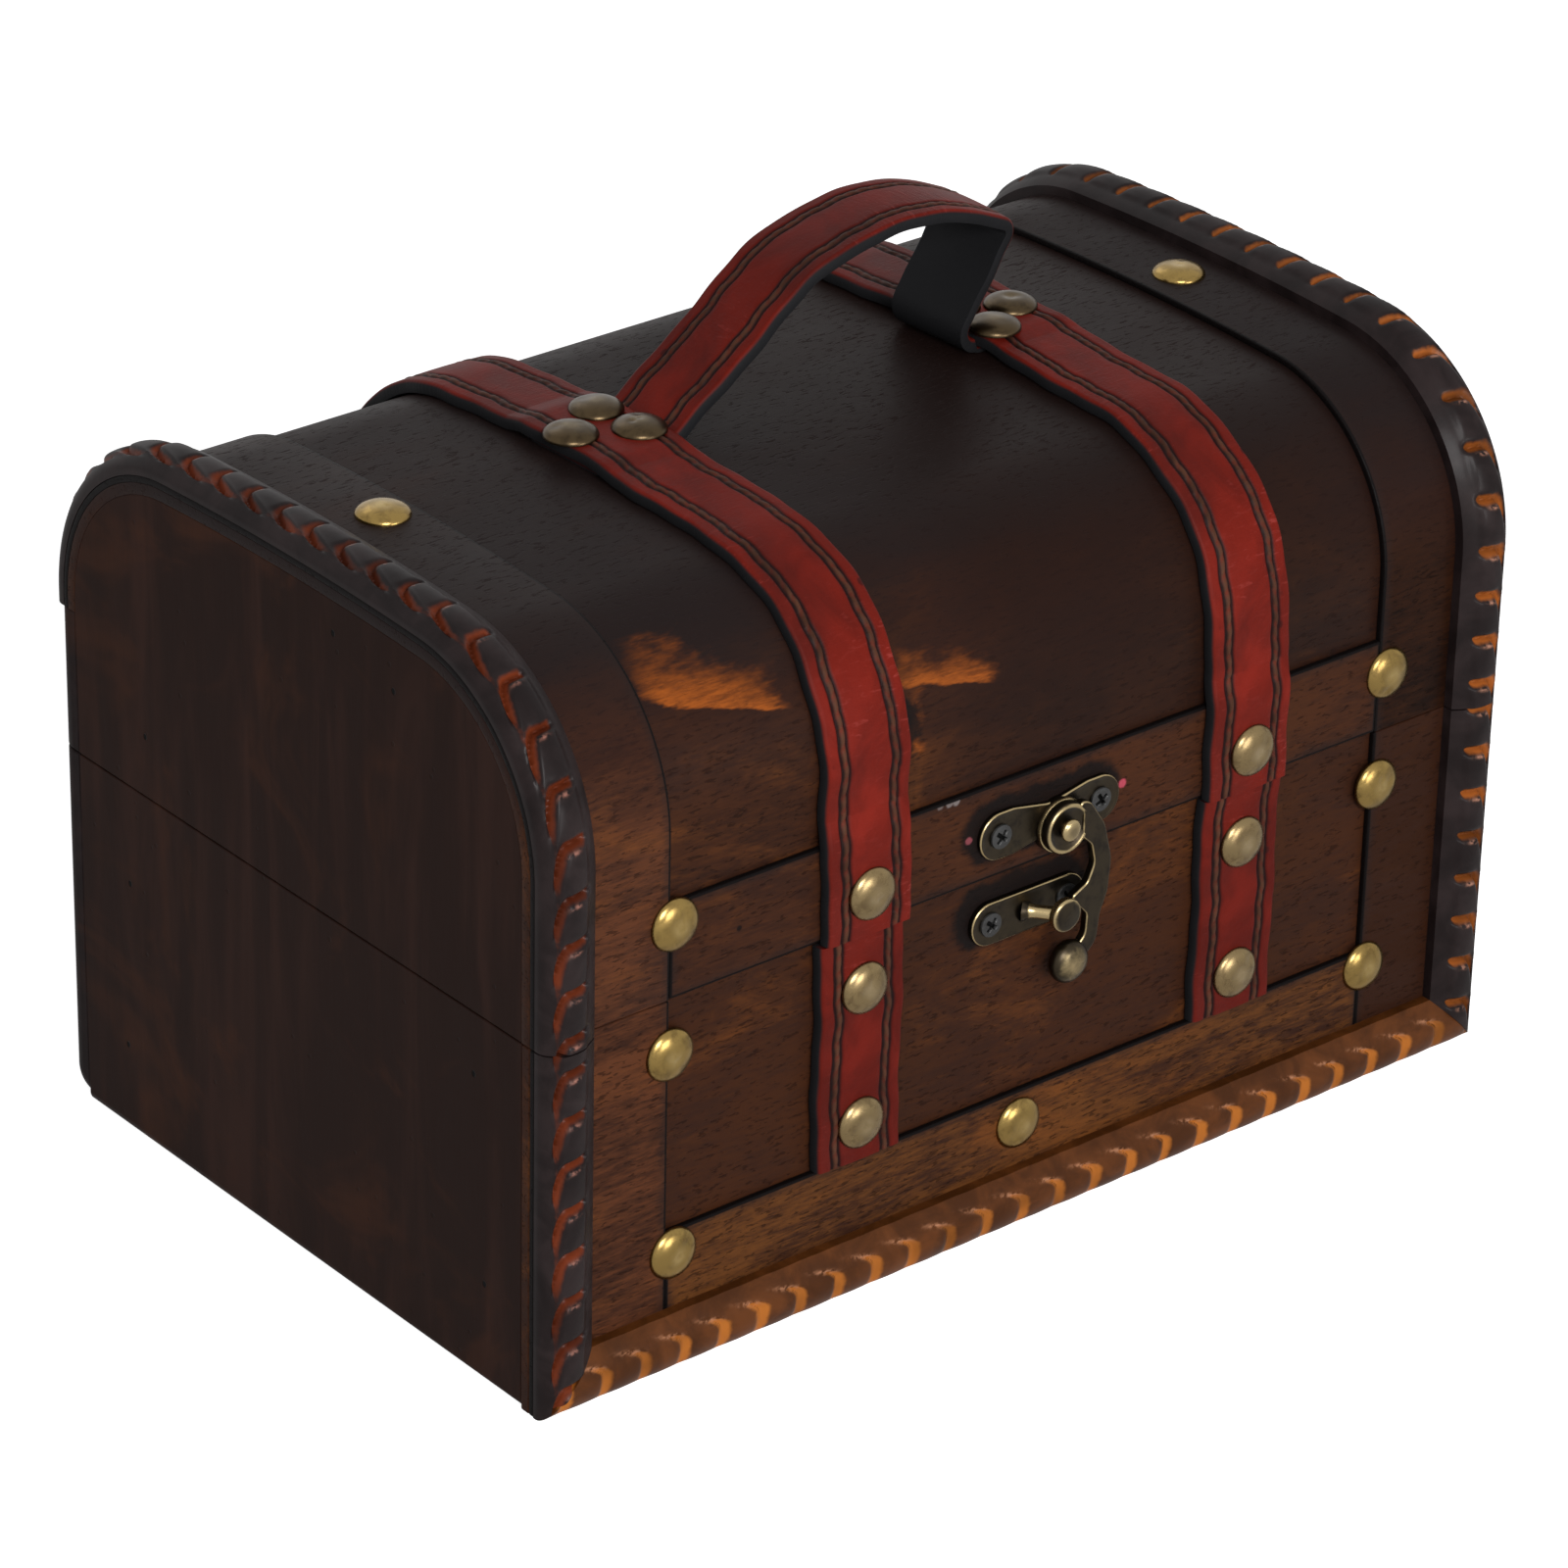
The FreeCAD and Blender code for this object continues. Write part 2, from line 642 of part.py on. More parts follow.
def flat_screw():
    """A countersunk head with its rim just above z = 0."""
    radius, rise = size("screw_radius"), size("screw_head")
    return on_shank(faceted_head([(radius, 0), (radius * 0.85, rise)]), size("screw_shank"),
                    size("screw_length"))


def fasteners(name, pattern, points, way):
    """One node of equal fasteners, each at a point and driven against a direction."""
    group = doc.addObject("Part::Feature", name)
    copies = [pattern.transformed(FreeCAD.Placement(FreeCAD.Vector(*point), turn).toMatrix())
              for point, turn in zip(points, way)]
    group.Shape = Part.makeCompound(copies)
    keep(name, group)


def make_nails():
    nail = domed_nail()
    face, panel = -size("half_depth") - size("overlay"), -size("half_depth")
    leather, top = size("leather"), size("skin_top")
    wood = [(x, face, z) for x, z in BASE_WOOD_NAILS]
    fasteners("base_wood_nails", nail, wood, [FRONT_WAY] * len(wood))
    middles = [size("strap_left"), size("strap_right")]
    strap = [(x, panel - leather, z) for x in middles for z in BASE_STRAP_NAILS]
    fasteners("base_strap_nails", nail, strap, [FRONT_WAY] * len(strap))
    front = [(x, face, z) for x, z in LID_WOOD_NAILS]
    above = [(x, y, top + size("overlay")) for x, y in TOP_WOOD_NAILS]
    fasteners("lid_wood_nails", nail, front + above, [FRONT_WAY] * len(front) + [UP_WAY] * len(above))
    front = [(x, face - leather, LID_STRAP_NAIL) for x in middles]
    behind = [(x, -panel + leather, back_top + size("nail_radius") + 1) for x in middles]
    fasteners("lid_strap_nails", nail, front + behind, [FRONT_WAY] * 2 + [BACK_WAY] * 2)
    held = [(size(strap) + x, y, top + size("tail") + leather)
            for strap, places in HANDLE_NAILS for x, y in places]
    fasteners("handle_nails", nail, held, [UP_WAY] * len(held))


# Butt hinges

def box(name, corner, sides):
    """A box whose corner and sides are formulas."""
    thing = doc.addObject("Part::Box", name)
    for prop, text in zip(("Length", "Width", "Height"), sides):
        bind(thing, prop, text)
    for axis, text in zip("xyz", corner):
        bind(thing, "Placement.Base." + axis, text)
    return thing


def rod(name, low_x, radius, length):
    """A round bar on the hinge axis."""
    thing = doc.addObject("Part::Cylinder", name)
    bind(thing, "Radius", radius)
    bind(thing, "Height", length)
    thing.Placement.Rotation = FreeCAD.Rotation(FreeCAD.Vector(0, 0, 1), FreeCAD.Vector(1, 0, 0))
    bind(thing, "Placement.Base.x", low_x)
    bind(thing, "Placement.Base.y", BACK_FACE + " + axis_reach")
    bind(thing, "Placement.Base.z", "seam_height + seam_gap / 2")
    return thing


def hinge_leaf(name, middle, upper):
    """A leaf plate on the back face with its knuckles: one on the lower leaf, two on the upper."""
    axis = "seam_height + seam_gap / 2"
    clear = "knuckle_radius + 0.5"
    low_z = axis + " + " + clear if upper else axis + " - (" + clear + ") - leaf_height"
    pieces = [box(name + "_plate", (middle + " - leaf_width / 2", BACK_FACE, low_z),
                  ("leaf_width", "leaf_plate", "leaf_height"))]
    starts = [middle + " - knuckle_width / 2"]
    if upper:
        reach = "(knuckle_width / 2 + knuckle_play)"
        starts = [middle + " + " + reach, middle + " - " + reach + " - knuckle_width"]
    for number, start in enumerate(starts):
        pieces.append(box("%s_tongue%d" % (name, number),
                          (start, BACK_FACE, axis if upper else axis + " - 1 - (" + clear + ")"),
                          ("knuckle_width", "leaf_plate", "1 + " + clear)))
        pieces.append(rod("%s_knuckle%d" % (name, number), start, "knuckle_radius", "knuckle_width"))
    joined = doc.addObject("Part::MultiFuse", name + "_joined")
    joined.Shapes = pieces
    leaf = doc.addObject("Part::Cut", name)
    leaf.Base = joined
    leaf.Tool = rod(name + "_bore", middle + " - leaf_width", "pin_radius + pin_play" if upper
                    else "pin_radius", "2 * leaf_width")
    keep(name, leaf)


def make_hinges():
    screw = flat_screw()
    plate_y = size("half_depth") - size("ply") + size("back_board") + size("leaf_plate")
    clear = size("knuckle_radius") + 0.5 + size("leaf_height") / 2
    axis_z = size("seam_height") + size("seam_gap") / 2
    for word, side in SIDES:
        middle = ("" if side > 0 else "-") + "hinge_spread"
        hinge_leaf("hinge_leaf_lower_" + word, middle, False)
        hinge_leaf("hinge_leaf_upper_" + word, middle, True)
        keep("hinge_pin_" + word, rod("hinge_pin_" + word, middle + " - leaf_width / 2", "pin_radius",
                                      "leaf_width"))
    for name, shift in (("hinge_screws_lower", -clear), ("hinge_screws_upper", clear)):
        points = [(side * size("hinge_spread") + reach * size("leaf_width") * 0.28, plate_y,
                   axis_z + shift) for word, side in SIDES for reach in (-1, 1)]
        fasteners(name, screw, points, [BACK_WAY] * len(points))


# The swinging hook

def slot_outline(x, height, spacing, end):
    """A plate outline with round ends about its two screws."""
    left, right = x - spacing / 2 - end, x + spacing / 2 + end
    corners = [(left, height - end, end), (right, height - end, end), (right, height + end, end),
               (left, height + end, end)]
    return [step_curve(step) for step in route_steps(corners, closed=True)]


def waisted_outline(x, height, spacing, end, lobe, waist, bend):
    """A plate outline with a round lobe about each screw, drawn in between them."""
    tip = spacing / 2 + end
    corners = []
    for turn in (1, -1):
        for across, rise, radius in ((-tip, 0, end), (-lobe, 0, bend), (0, waist, bend),
                                     (lobe, 0, bend), (tip, 0, end)):
            corners.append((x + turn * across, height - turn * (end - rise), radius))
    return [step_curve(step) for step in route_steps(corners, closed=True)]


def add_circle(body, kind, offset, x, height, radius, length):
    """Pad or pocket a circle that lies square to the front."""
    sketch = sketch_on(body, "XZ_Plane", offset)
    draw_circle(sketch, x, height, radius)
    return add_feature(body, kind, sketch, length)


def make_latch_plate():
    outline = waisted_outline(size("latch_x"), size("latch_height"), size("latch_spacing"),
                              size("latch_end"), size("latch_lobe"), size("latch_waist"),
                              size("latch_bend"))
    plate = pad_outline("latch_plate", "XZ_Plane", FRAME_FACE, outline, "latch_plate")
    add_circle(plate, "Pad", FRAME_FACE, "pivot_x", "pivot_height", "boss_radius", "boss_height")
    bore = add_circle(plate, "Pocket", FRAME_FACE, "pivot_x", "pivot_height", "rivet_radius",
                      "2 * boss_height")
    bore.Midplane = True
    rivet = new_body("latch_rivet")
    shaft = "boss_height + hook_play + hook_plate + hook_play"
    add_circle(rivet, "Pad", FRAME_FACE, "pivot_x", "pivot_height", "rivet_radius", shaft)
    add_circle(rivet, "Pad", FRAME_FACE + " + " + shaft, "pivot_x", "pivot_height", "rivet_head",
               "rivet_dome")
    keep("latch_rivet", rivet)
    points = [(size("latch_x") + side * size("latch_spacing") / 2,
               -size("half_depth") - size("overlay") - size("latch_plate"), size("latch_height"))
              for word, side in SIDES]
    fasteners("latch_screws", flat_screw(), points, [FRONT_WAY] * 2)


def make_catch_plate():
    """The lower plate: a slanted peg with a disc head, behind which the hook's lip passes."""
    outline = slot_outline(size("catch_x"), size("catch_height"), size("catch_spacing"),
                           size("catch_end"))
    plate = pad_outline("catch_plate_blank", "XZ_Plane", "half_depth", outline, "catch_plate")
    nodes.pop("catch_plate_blank")
    face, height = -size("half_depth"), size("catch_height")
    foot = FreeCAD.Vector(size("peg_foot"), face - size("catch_plate") / 2, height)
    tip = FreeCAD.Vector(size("peg_head"), face - size("peg_reach") - size("peg_thick") / 2, height)
    neck = doc.addObject("Part::Cylinder", "catch_neck")
    bind(neck, "Radius", "peg_radius")
    neck.Height = (tip - foot).Length
    neck.Placement = FreeCAD.Placement(foot, FreeCAD.Rotation(FreeCAD.Vector(0, 0, 1), tip - foot))
    disc = doc.addObject("Part::Cylinder", "catch_disc")
    bind(disc, "Radius", "peg_disc")
    bind(disc, "Height", "peg_thick")
    disc.Placement = FreeCAD.Placement(FreeCAD.Vector(0, 0, 0), FRONT_WAY)
    bind(disc, "Placement.Base.x", "peg_head")
    bind(disc, "Placement.Base.y", "-half_depth - peg_reach")
    bind(disc, "Placement.Base.z", "catch_height")
    catch = doc.addObject("Part::MultiFuse", "catch_plate")
    catch.Shapes = [plate, neck, disc]
    keep("catch_plate", catch)
    points = [(size("catch_x") + side * size("catch_spacing") / 2, face - size("catch_plate"), height)
              for word, side in SIDES]
    fasteners("catch_screws", flat_screw(), points, [FRONT_WAY] * 2)


def make_hook():
    """The hook: a ring on the rivet, an arm that bows to the right, a lip behind the peg, a knob."""
    x, z = size("pivot_x"), size("pivot_height")
    back = FRAME_FACE + " + boss_height + hook_play"
    half = size("hook_half")
    knob = (x + size("knob_across"), z - size("knob_drop"))
    route = [(x, z + 2.9, 0), (x + 7.0, z + 2.4, 5.0), (x + 7.2, z - 14.0, 14.0),
             (x + 4.8, z - 22.0, 4.0), (*knob, 0)]
    hook = pad_outline("latch_hook", "XZ_Plane", back, band_outline(route, half, half), "hook_plate")
    add_circle(hook, "Pad", back, "pivot_x", "pivot_height", "ring_radius", "hook_plate")
    lip = sketch_on(hook, "XZ_Plane", back)
    draw_chain(lip, polygon([(x + 6.5, z - 9.0), (x + 0.1, z - 13.0), (x + 6.0, z - 16.5)]))
    add_feature(hook, "Pad", lip, "hook_plate")
    middle = size("half_depth") + size("overlay") + size("boss_height") + size("hook_play")
    middle += size("hook_plate") / 2
    add_circle(hook, "Pad", "%s + hook_plate / 2 - knob_rim / 2" % back, "pivot_x + knob_across",
               "pivot_height - knob_drop", "knob_radius", "knob_rim")
    for number, (side, way) in enumerate(((-1, FRONT_WAY), (1, BACK_WAY))):
        cone = hook.newObject("PartDesign::AdditiveCone", "latch_hook_slope%d" % number)
        bind(cone, "Radius1", "knob_radius")
        bind(cone, "Radius2", "knob_face")
        bind(cone, "Height", "knob_slope")
        rim = -middle + side * size("knob_rim") / 2
        cone.Placement = FreeCAD.Placement(FreeCAD.Vector(knob[0], rim, knob[1]), way)
    bore = add_circle(hook, "Pocket", back, "pivot_x", "pivot_height", "rivet_radius + pin_play",
                      "4 * hook_plate")
    bore.Midplane = True


make_front_boards()
make_back_boards()
make_inner_boards()
make_arch()
make_top_batten()
make_straight_mouldings()
make_arched_mouldings()
make_straps()
make_handle()
make_nails()
make_hinges()
make_latch_plate()
make_catch_plate()
make_hook()
doc.recompute()

for thing in doc.Objects:
    if "Invalid" in thing.State or "Error" in thing.State:
        raise RuntimeError(thing.Label + " didn't build")

os.makedirs("parts", exist_ok=True)
for name, thing in nodes.items():
    if thing.Shape.isNull() or not thing.Shape.isValid() or not thing.Shape.Solids:
        raise RuntimeError(name + " isn't a sound solid")
    thing.Shape.exportStep("parts/" + name + ".step")
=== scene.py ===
import math

import bmesh
import bpy
import numpy as np
from bpy.props import FloatProperty, FloatVectorProperty, IntProperty, PointerProperty
from mathutils import Matrix, Vector


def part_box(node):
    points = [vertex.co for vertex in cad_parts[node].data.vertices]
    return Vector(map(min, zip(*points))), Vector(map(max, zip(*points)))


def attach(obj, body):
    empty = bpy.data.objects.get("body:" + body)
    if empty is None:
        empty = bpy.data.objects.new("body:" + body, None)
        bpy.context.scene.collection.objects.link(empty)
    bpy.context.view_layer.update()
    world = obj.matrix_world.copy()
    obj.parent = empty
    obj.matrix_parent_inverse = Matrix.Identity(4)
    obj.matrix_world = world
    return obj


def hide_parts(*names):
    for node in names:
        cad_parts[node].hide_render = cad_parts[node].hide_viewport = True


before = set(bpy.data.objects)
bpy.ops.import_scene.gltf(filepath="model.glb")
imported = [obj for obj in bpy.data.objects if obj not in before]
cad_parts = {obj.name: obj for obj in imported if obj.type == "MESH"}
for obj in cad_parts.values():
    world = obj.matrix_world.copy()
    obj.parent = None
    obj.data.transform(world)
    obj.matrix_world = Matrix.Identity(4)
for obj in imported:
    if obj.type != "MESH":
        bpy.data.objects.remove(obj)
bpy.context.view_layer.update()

bl_info = {
    "name": "Keepsake Chest",
    "version": (1, 0, 0),
    "blender": (4, 5, 0),
    "location": "3D View > Sidebar > Chest",
    "description": "Dresses a small arched keepsake chest with carved mouldings, leather and brass",
    "category": "Add Mesh",
}

MM = 0.001

# Planes and edges of the frame, in metres.  The chest's length is along X and its front faces -Y.
HALF_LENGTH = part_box("base_front_panel")[1].x
PANEL_FACE = -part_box("base_front_panel")[0].y         # the panel's distance from the middle plane
FRAME_FACE = -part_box("base_stile_left")[0].y
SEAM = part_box("base_front_panel")[1].z                # top edge of the base
LID_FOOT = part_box("lid_rail")[0].z
RAIL_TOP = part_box("lid_rail")[1].z
SKIN_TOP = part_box("lid_skin")[1].z
BACK_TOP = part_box("lid_back_board")[1].z
OVERLAY = FRAME_FACE - PANEL_FACE                     # thickness of the framing
PLY = OVERLAY + 0.9 * MM                              # thickness of the bent skin
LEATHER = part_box("base_strap_left")[1].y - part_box("base_strap_left")[0].y
STRAP_MIDDLES = {word: sum(corner.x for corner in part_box("lid_strap_" + word)) / 2
                 for word in ("left", "right")}
STRAP_HALF = (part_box("lid_strap_left")[1].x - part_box("lid_strap_left")[0].x) / 2
HANDLE_FRONT, HANDLE_BACK = (corner.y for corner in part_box("handle"))
TAIL = 1.2 * MM                                       # thickness of the handle's skived tails
ARCH_RADIUS = 32.0 * MM                               # the skin's outer radius at the shoulders
CROWN_RADIUS = 700.0 * MM                             # and over the top
SIDES = {"left": -1, "right": 1}
TO_FRONT, TO_BACK, UP = (0, -1, 0), (0, 1, 0), (0, 0, 1)

# Camera that gives the chest the angle and size of the photo: azimuth, elevation and roll in
# degrees, place in metres, focal length and sensor in millimetres
CAMERA_ANGLES = (-39.8389, 27.6989, 1.3119)
CAMERA_PLACE = (-0.69886, -0.83732, 0.63084)
FOCAL_LENGTH, SENSOR_WIDTH = 155.0994, 36.0

# Soft square lamps: (name, place, aim, side, watts)
LAMPS = (("key", (-0.75, -1.5, 0.95), (0, 0, 0.07), 0.7, 27),
         ("front", (0.15, -1.7, 0.30), (0, 0, 0.07), 0.6, 9),
         ("back", (0.3, 1.6, 1.3), (0, 0, 0.1), 0.8, 2))
WORLD_LIGHT = 0.24                                    # strength of the world's light on the chest
FLOOR_RADIUS = 2.5

# Domed nails, in millimetres: (X, Z) on the front, (X, Y) on the lid, and Z on the straps
BASE_WOOD_NAILS = ((-81.4, 61.4), (-80.1, 21.8), (-1.8, 19.7), (82.5, 23.1), (82.6, 61.0))
LID_WOOD_NAILS = ((-80.7, 86.2), (83.6, 83.4))
TOP_WOOD_NAILS = ((-87.9, 2.9), (90.3, -1.6))
BASE_STRAP_NAILS = (61.0, 34.2)
LID_STRAP_NAIL = 80.0
BACK_STRAP_NAIL = 106.0
# The handle's nails: (X from the middle of the strap, Y)
HANDLE_NAILS = {"left": ((3.5, 10.1), (-6.5, 4.4), (4.6, -0.7)),
                "right": ((3.4, 1.1), (-5.2, -4.4), (-5.4, 6.6))}

# Corners (X, Z, radius) of the handle's middle line, in millimetres, from its left tail
HANDLE_ROUTE = ((-48.0, 136.9, 0), (-30.85, 136.9, 4.0), (2.0, 161.8, 26.0), (18.0, 165.2, 50.0),
                (32.3, 164.5, 38.0), (46.5, 158.2, 2.2), (32.2, 136.9, 3.4), (57.0, 136.9, 0))

# Punched heads of the pins in the end boards: (Y, Z), in millimetres
END_PINS = ((-30, 123), (-13, 127), (44, 84), (52, 18), (-52, 60), (-55, 20), (50, 52))

# Patches of the skin where the stain is rubbed off: (low X, high X, low and high level), and a dark
# stain beside them: (X, Z, half length, reach).  A level is Z plus a quarter of X.
RUBBED_PATCHES = ((-81 * MM, -52 * MM, 102.8 * MM, 111.5 * MM), (-31 * MM, -9 * MM, 106.2 * MM, 113.5 * MM),
                  (-29 * MM, -24.5 * MM, 94 * MM, 108 * MM))
SKIN_STAINS = ((-32.0 * MM, 107 * MM, 0.8 * MM, 5.0 * MM),)

# Where a valley of the mouldings lies: up each corner, along each arch, and in X along the foot
CORNER_START = {"left": 67.9 * MM, "right": 71.6 * MM}
ARCH_START = {"left": 2.2 * MM, "right": 4.6 * MM}
FOOT_START = -97.4 * MM

# Chips, a pin hole and spots of paint on the lid's rail: (X, Z, reach, colour)
FLECKS = ((19.7 * MM, 80.9 * MM, 1.1 * MM, (0.42, 0.06, 0.09)),
          (-15.7 * MM, 81.0 * MM, 0.9 * MM, (0.20, 0.05, 0.06)),
          (-18.9 * MM, 89.9 * MM, 1.1 * MM, (0.30, 0.26, 0.25)),
          (-20.5 * MM, 89.8 * MM, 0.9 * MM, (0.26, 0.22, 0.21)),
          (-22.6 * MM, 89.9 * MM, 0.9 * MM, (0.20, 0.16, 0.15)),
          (-66.7 * MM, 80.8 * MM, 0.7 * MM, (0.003, 0.003, 0.003)))

# Latch, in the plane of the front
PIVOT = (4.2 * MM, 78.4 * MM)
LATCH_MIDDLE, LATCH_SPACING, LATCH_END = (2.2 * MM, 80.2 * MM), 23.0 * MM, 4.6 * MM
CATCH_MIDDLE, CATCH_SPACING, CATCH_END = (-1.1 * MM, 62.5 * MM), 17.6 * MM, 4.2 * MM
PEG_FOOT, PEG_HEAD = -1.9 * MM, 2.9 * MM

# Section of the hook's ring: (radius, height, wear).  Corners of its arm from the pivot: (X, Z,
# radius).  Lengths are in millimetres.
RING_SECTION = ((1.65, 0, 0), (4.9, 0, 0), (4.9, 0.9, 0.15), (4.75, 1.3, 0.55), (4.45, 1.5, 0.9),
                (4.1, 1.4, 0.55), (3.7, 1.05, 0.1), (3.0, 0.9, 0), (1.65, 0.9, 0))
ARM_CORNERS = ((3.5, -2.9, 0.9), (5.6, -4.8, 2.0), (6.5, -8.8, 3.0), (5.0, -12.2, 1.8), (1.0, -14.2, 0.9),
               (3.4, -16.6, 0.8), (5.2, -18.6, 1.5), (5.0, -22.5, 2.5), (2.6, -25.0, 1.0),
               (4.2, -28.2, 1.2), (7.8, -24.6, 4.0), (8.4, -19.4, 3.0), (10.0, -15.4, 4.0),
               (10.6, -9.0, 8.0), (8.7, -1.6, 6.0), (4.9, 4.1, 2.8), (1.4, 4.7, 0.8), (3.4, 2.2, 1.5))

# Stains, dirt and painted shade that the user doesn't change, in linear light
SOOT = (0.004, 0.003, 0.003)                          # burnt edge of a board
SINGED = (0.016, 0.010, 0.009)                        # margin beside it
SHOULDER_STAIN = (0.019, 0.0075, 0.0055)              # where the arch turns
TOP_STAIN = (0.012, 0.0085, 0.0085)
DUSK_STAIN = (0.010, 0.0045, 0.0035)                  # skin towards the right
BARE_WOOD = (0.27, 0.068, 0.011)
# Black wax, and painted shadow on the upper left side of the latch plates
WAX_AND_SHADOW = (0.005, 0.004, 0.004)                           # about the latch
END_STAIN = (0.021, 0.0095, 0.007)
PIT = (0.002, 0.002, 0.002)
CROWN_BROWN = (0.072, 0.022, 0.005)                   # lobes of the moulding at the foot
RUBBED_RUST = (0.34, 0.095, 0.018)                    # valleys of the right mouldings
OLD_LEATHER = (0.060, 0.008, 0.006)
LEATHER_SPOT = (0.018, 0.004, 0.004)
# Painted shade in the stitch furrows of the leather
FURROW_SHADE = (0.008, 0.004, 0.004)                         # in the furrows of the leather
BLACK_DIRT = (0.004, 0.004, 0.004)                    # in the screws
BRASS_WORN, BRASS_TARNISH = (0.48, 0.35, 0.145), (0.09, 0.055, 0.020)
OLD_BRASS, OLD_BRASS_WORN = (0.23, 0.165, 0.080), (0.40, 0.31, 0.18)
OLD_BRASS_TARNISH = (0.08, 0.05, 0.025)
NAIL_BRONZE, NAIL_BRONZE_WORN = (0.065, 0.045, 0.024), (0.16, 0.12, 0.065)
NAIL_BRONZE_TARNISH = (0.025, 0.017, 0.010)
RIVET_BRONZE, RIVET_TARNISH = (0.19, 0.145, 0.080), (0.10, 0.08, 0.05)
BRONZE_TARNISH = (0.016, 0.013, 0.011)
HINGE_TARNISH = (0.055, 0.048, 0.042)
STEEL_TARNISH = (0.03, 0.027, 0.025)

# Painted highlights on the lips of the mouldings
LIP_HIGHLIGHTS = {"left": (0.36, 0.16, 0.12), "right": (0.50, 0.24, 0.16), "foot": (0.42, 0.19, 0.10)}


class ChestSizes(bpy.types.PropertyGroup):
    """Sizes of the pieces that are made here."""

    edge_round: FloatProperty(name="Board edge", description="Rounding of the boards' edges",
                              default=0.35 * MM, subtype="DISTANCE", unit="LENGTH")
    lobe_pitch: FloatProperty(name="Lobe pitch", description="Length of one carved lobe",
                              default=8.85 * MM, subtype="DISTANCE", unit="LENGTH")
    foot_pitch: FloatProperty(name="Foot lobe pitch", description="Length of a lobe along the foot",
                              default=8.57 * MM, subtype="DISTANCE", unit="LENGTH")
    lobe_width: FloatProperty(name="Moulding width", description="Width of the carved moulding",
                              default=11.0 * MM, subtype="DISTANCE", unit="LENGTH")
    lobe_crest: FloatProperty(name="Moulding height", description="Height of the moulding's crest",
                              default=4.3 * MM, subtype="DISTANCE", unit="LENGTH")
    valley_depth: FloatProperty(name="Valley depth", description="Depth of the valleys between lobes",
                                default=1.3 * MM, subtype="DISTANCE", unit="LENGTH")
    seam_inset: FloatProperty(name="Stitch inset", description="From a strap's edge to its stitches",
                              default=3.7 * MM, subtype="DISTANCE", unit="LENGTH")
    stitch: FloatProperty(name="Stitch length", description="Length of one stitch",
                          default=2.8 * MM, subtype="DISTANCE", unit="LENGTH")
    nail_radius: FloatProperty(name="Nail radius", description="Radius of a domed nail's head",
                               default=5.0 * MM, subtype="DISTANCE", unit="LENGTH")
    nail_dome: FloatProperty(name="Nail dome", description="Height of a nail's dome",
                             default=2.0 * MM, subtype="DISTANCE", unit="LENGTH")
    screw_radius: FloatProperty(name="Screw radius", description="Radius of a screw's head",
                                default=2.3 * MM, subtype="DISTANCE", unit="LENGTH")
    seed: IntProperty(name="Seed", description="Picks the small dents and turns of the nails",
                      default=7)


def colour(name, description, value):
    """A colour property, its value in linear light."""
    return FloatVectorProperty(name=name, description=description, default=value, size=3,
                               subtype="COLOR", min=0, max=1)


class ChestColours(bpy.types.PropertyGroup):
    """Colours of the finishes, in linear light."""

    wood: colour("Wood", "Stain of the framing and panels", (0.072, 0.024, 0.010))
    wood_dark: colour("Dark wood", "Darkest part of the stain", (0.026, 0.010, 0.006))
    wood_amber: colour("Amber wood", "Where the stain is rubbed thin", (0.135, 0.043, 0.010))
    rail_wood: colour("Rail wood", "Lighter stain of the lower rail", (0.100, 0.036, 0.010))
    black_wood: colour("Black wood", "Stain of the ends and carved lobes", (0.014, 0.009, 0.009))
    rust: colour("Rust", "Valleys of the standing mouldings", (0.15, 0.028, 0.009))
    ochre: colour("Ochre", "Valleys of the moulding at the foot", (0.36, 0.115, 0.018))
    leather: colour("Leather", "Face of the straps", (0.150, 0.011, 0.006))
    leather_worn: colour("Worn leather", "Rubbed and cracked leather", (0.32, 0.050, 0.042))
    leather_black: colour("Leather edge", "Cut edges and backs of the straps", (0.010, 0.010, 0.011))
    thread: colour("Thread", "Stitches", (0.040, 0.016, 0.009))
    brass: colour("Brass", "Nails on the front", (0.27, 0.18, 0.058))
    bronze: colour("Bronze", "Latch and hinges", (0.040, 0.031, 0.020))
    bronze_worn: colour("Worn bronze", "Rubbed edges of the latch", (0.38, 0.29, 0.15))
    steel: colour("Steel", "Screws", (0.065, 0.065, 0.065))
    floor: colour("Floor", "Floor under the chest", (0.86, 0.86, 0.86))


# Shader maths

class Value:
    """A number that changes over a surface: a shader socket whose operators add Math nodes."""

    def __init__(self, tree, socket):
        self.tree = tree
        self.socket = socket

    def math(self, operation, first, second):
        return self.tree.add("ShaderNodeMath", {"operation": operation}, {0: first, 1: second})

    def __add__(self, other):
        return self.math("ADD", self, other)

    def __radd__(self, other):
        return self.math("ADD", other, self)

    def __sub__(self, other):
        return self.math("SUBTRACT", self, other)

    def __rsub__(self, other):
        return self.math("SUBTRACT", other, self)

    def __mul__(self, other):
        return self.math("MULTIPLY", self, other)

    def __rmul__(self, other):
        return self.math("MULTIPLY", other, self)

    def __pow__(self, other):
        return self.math("POWER", self, other)

    def least(self, other):
        return self.math("MINIMUM", self, other)

    def most(self, other):
        return self.math("MAXIMUM", self, other)

    def step(self, low, high):
        """A smooth rise from 0, at low, to 1, at high."""
        return self.tree.add("ShaderNodeMapRange", {"interpolation_type": "SMOOTHSTEP"},
                             {0: self, 1: low, 2: high, 3: 0.0, 4: 1.0})


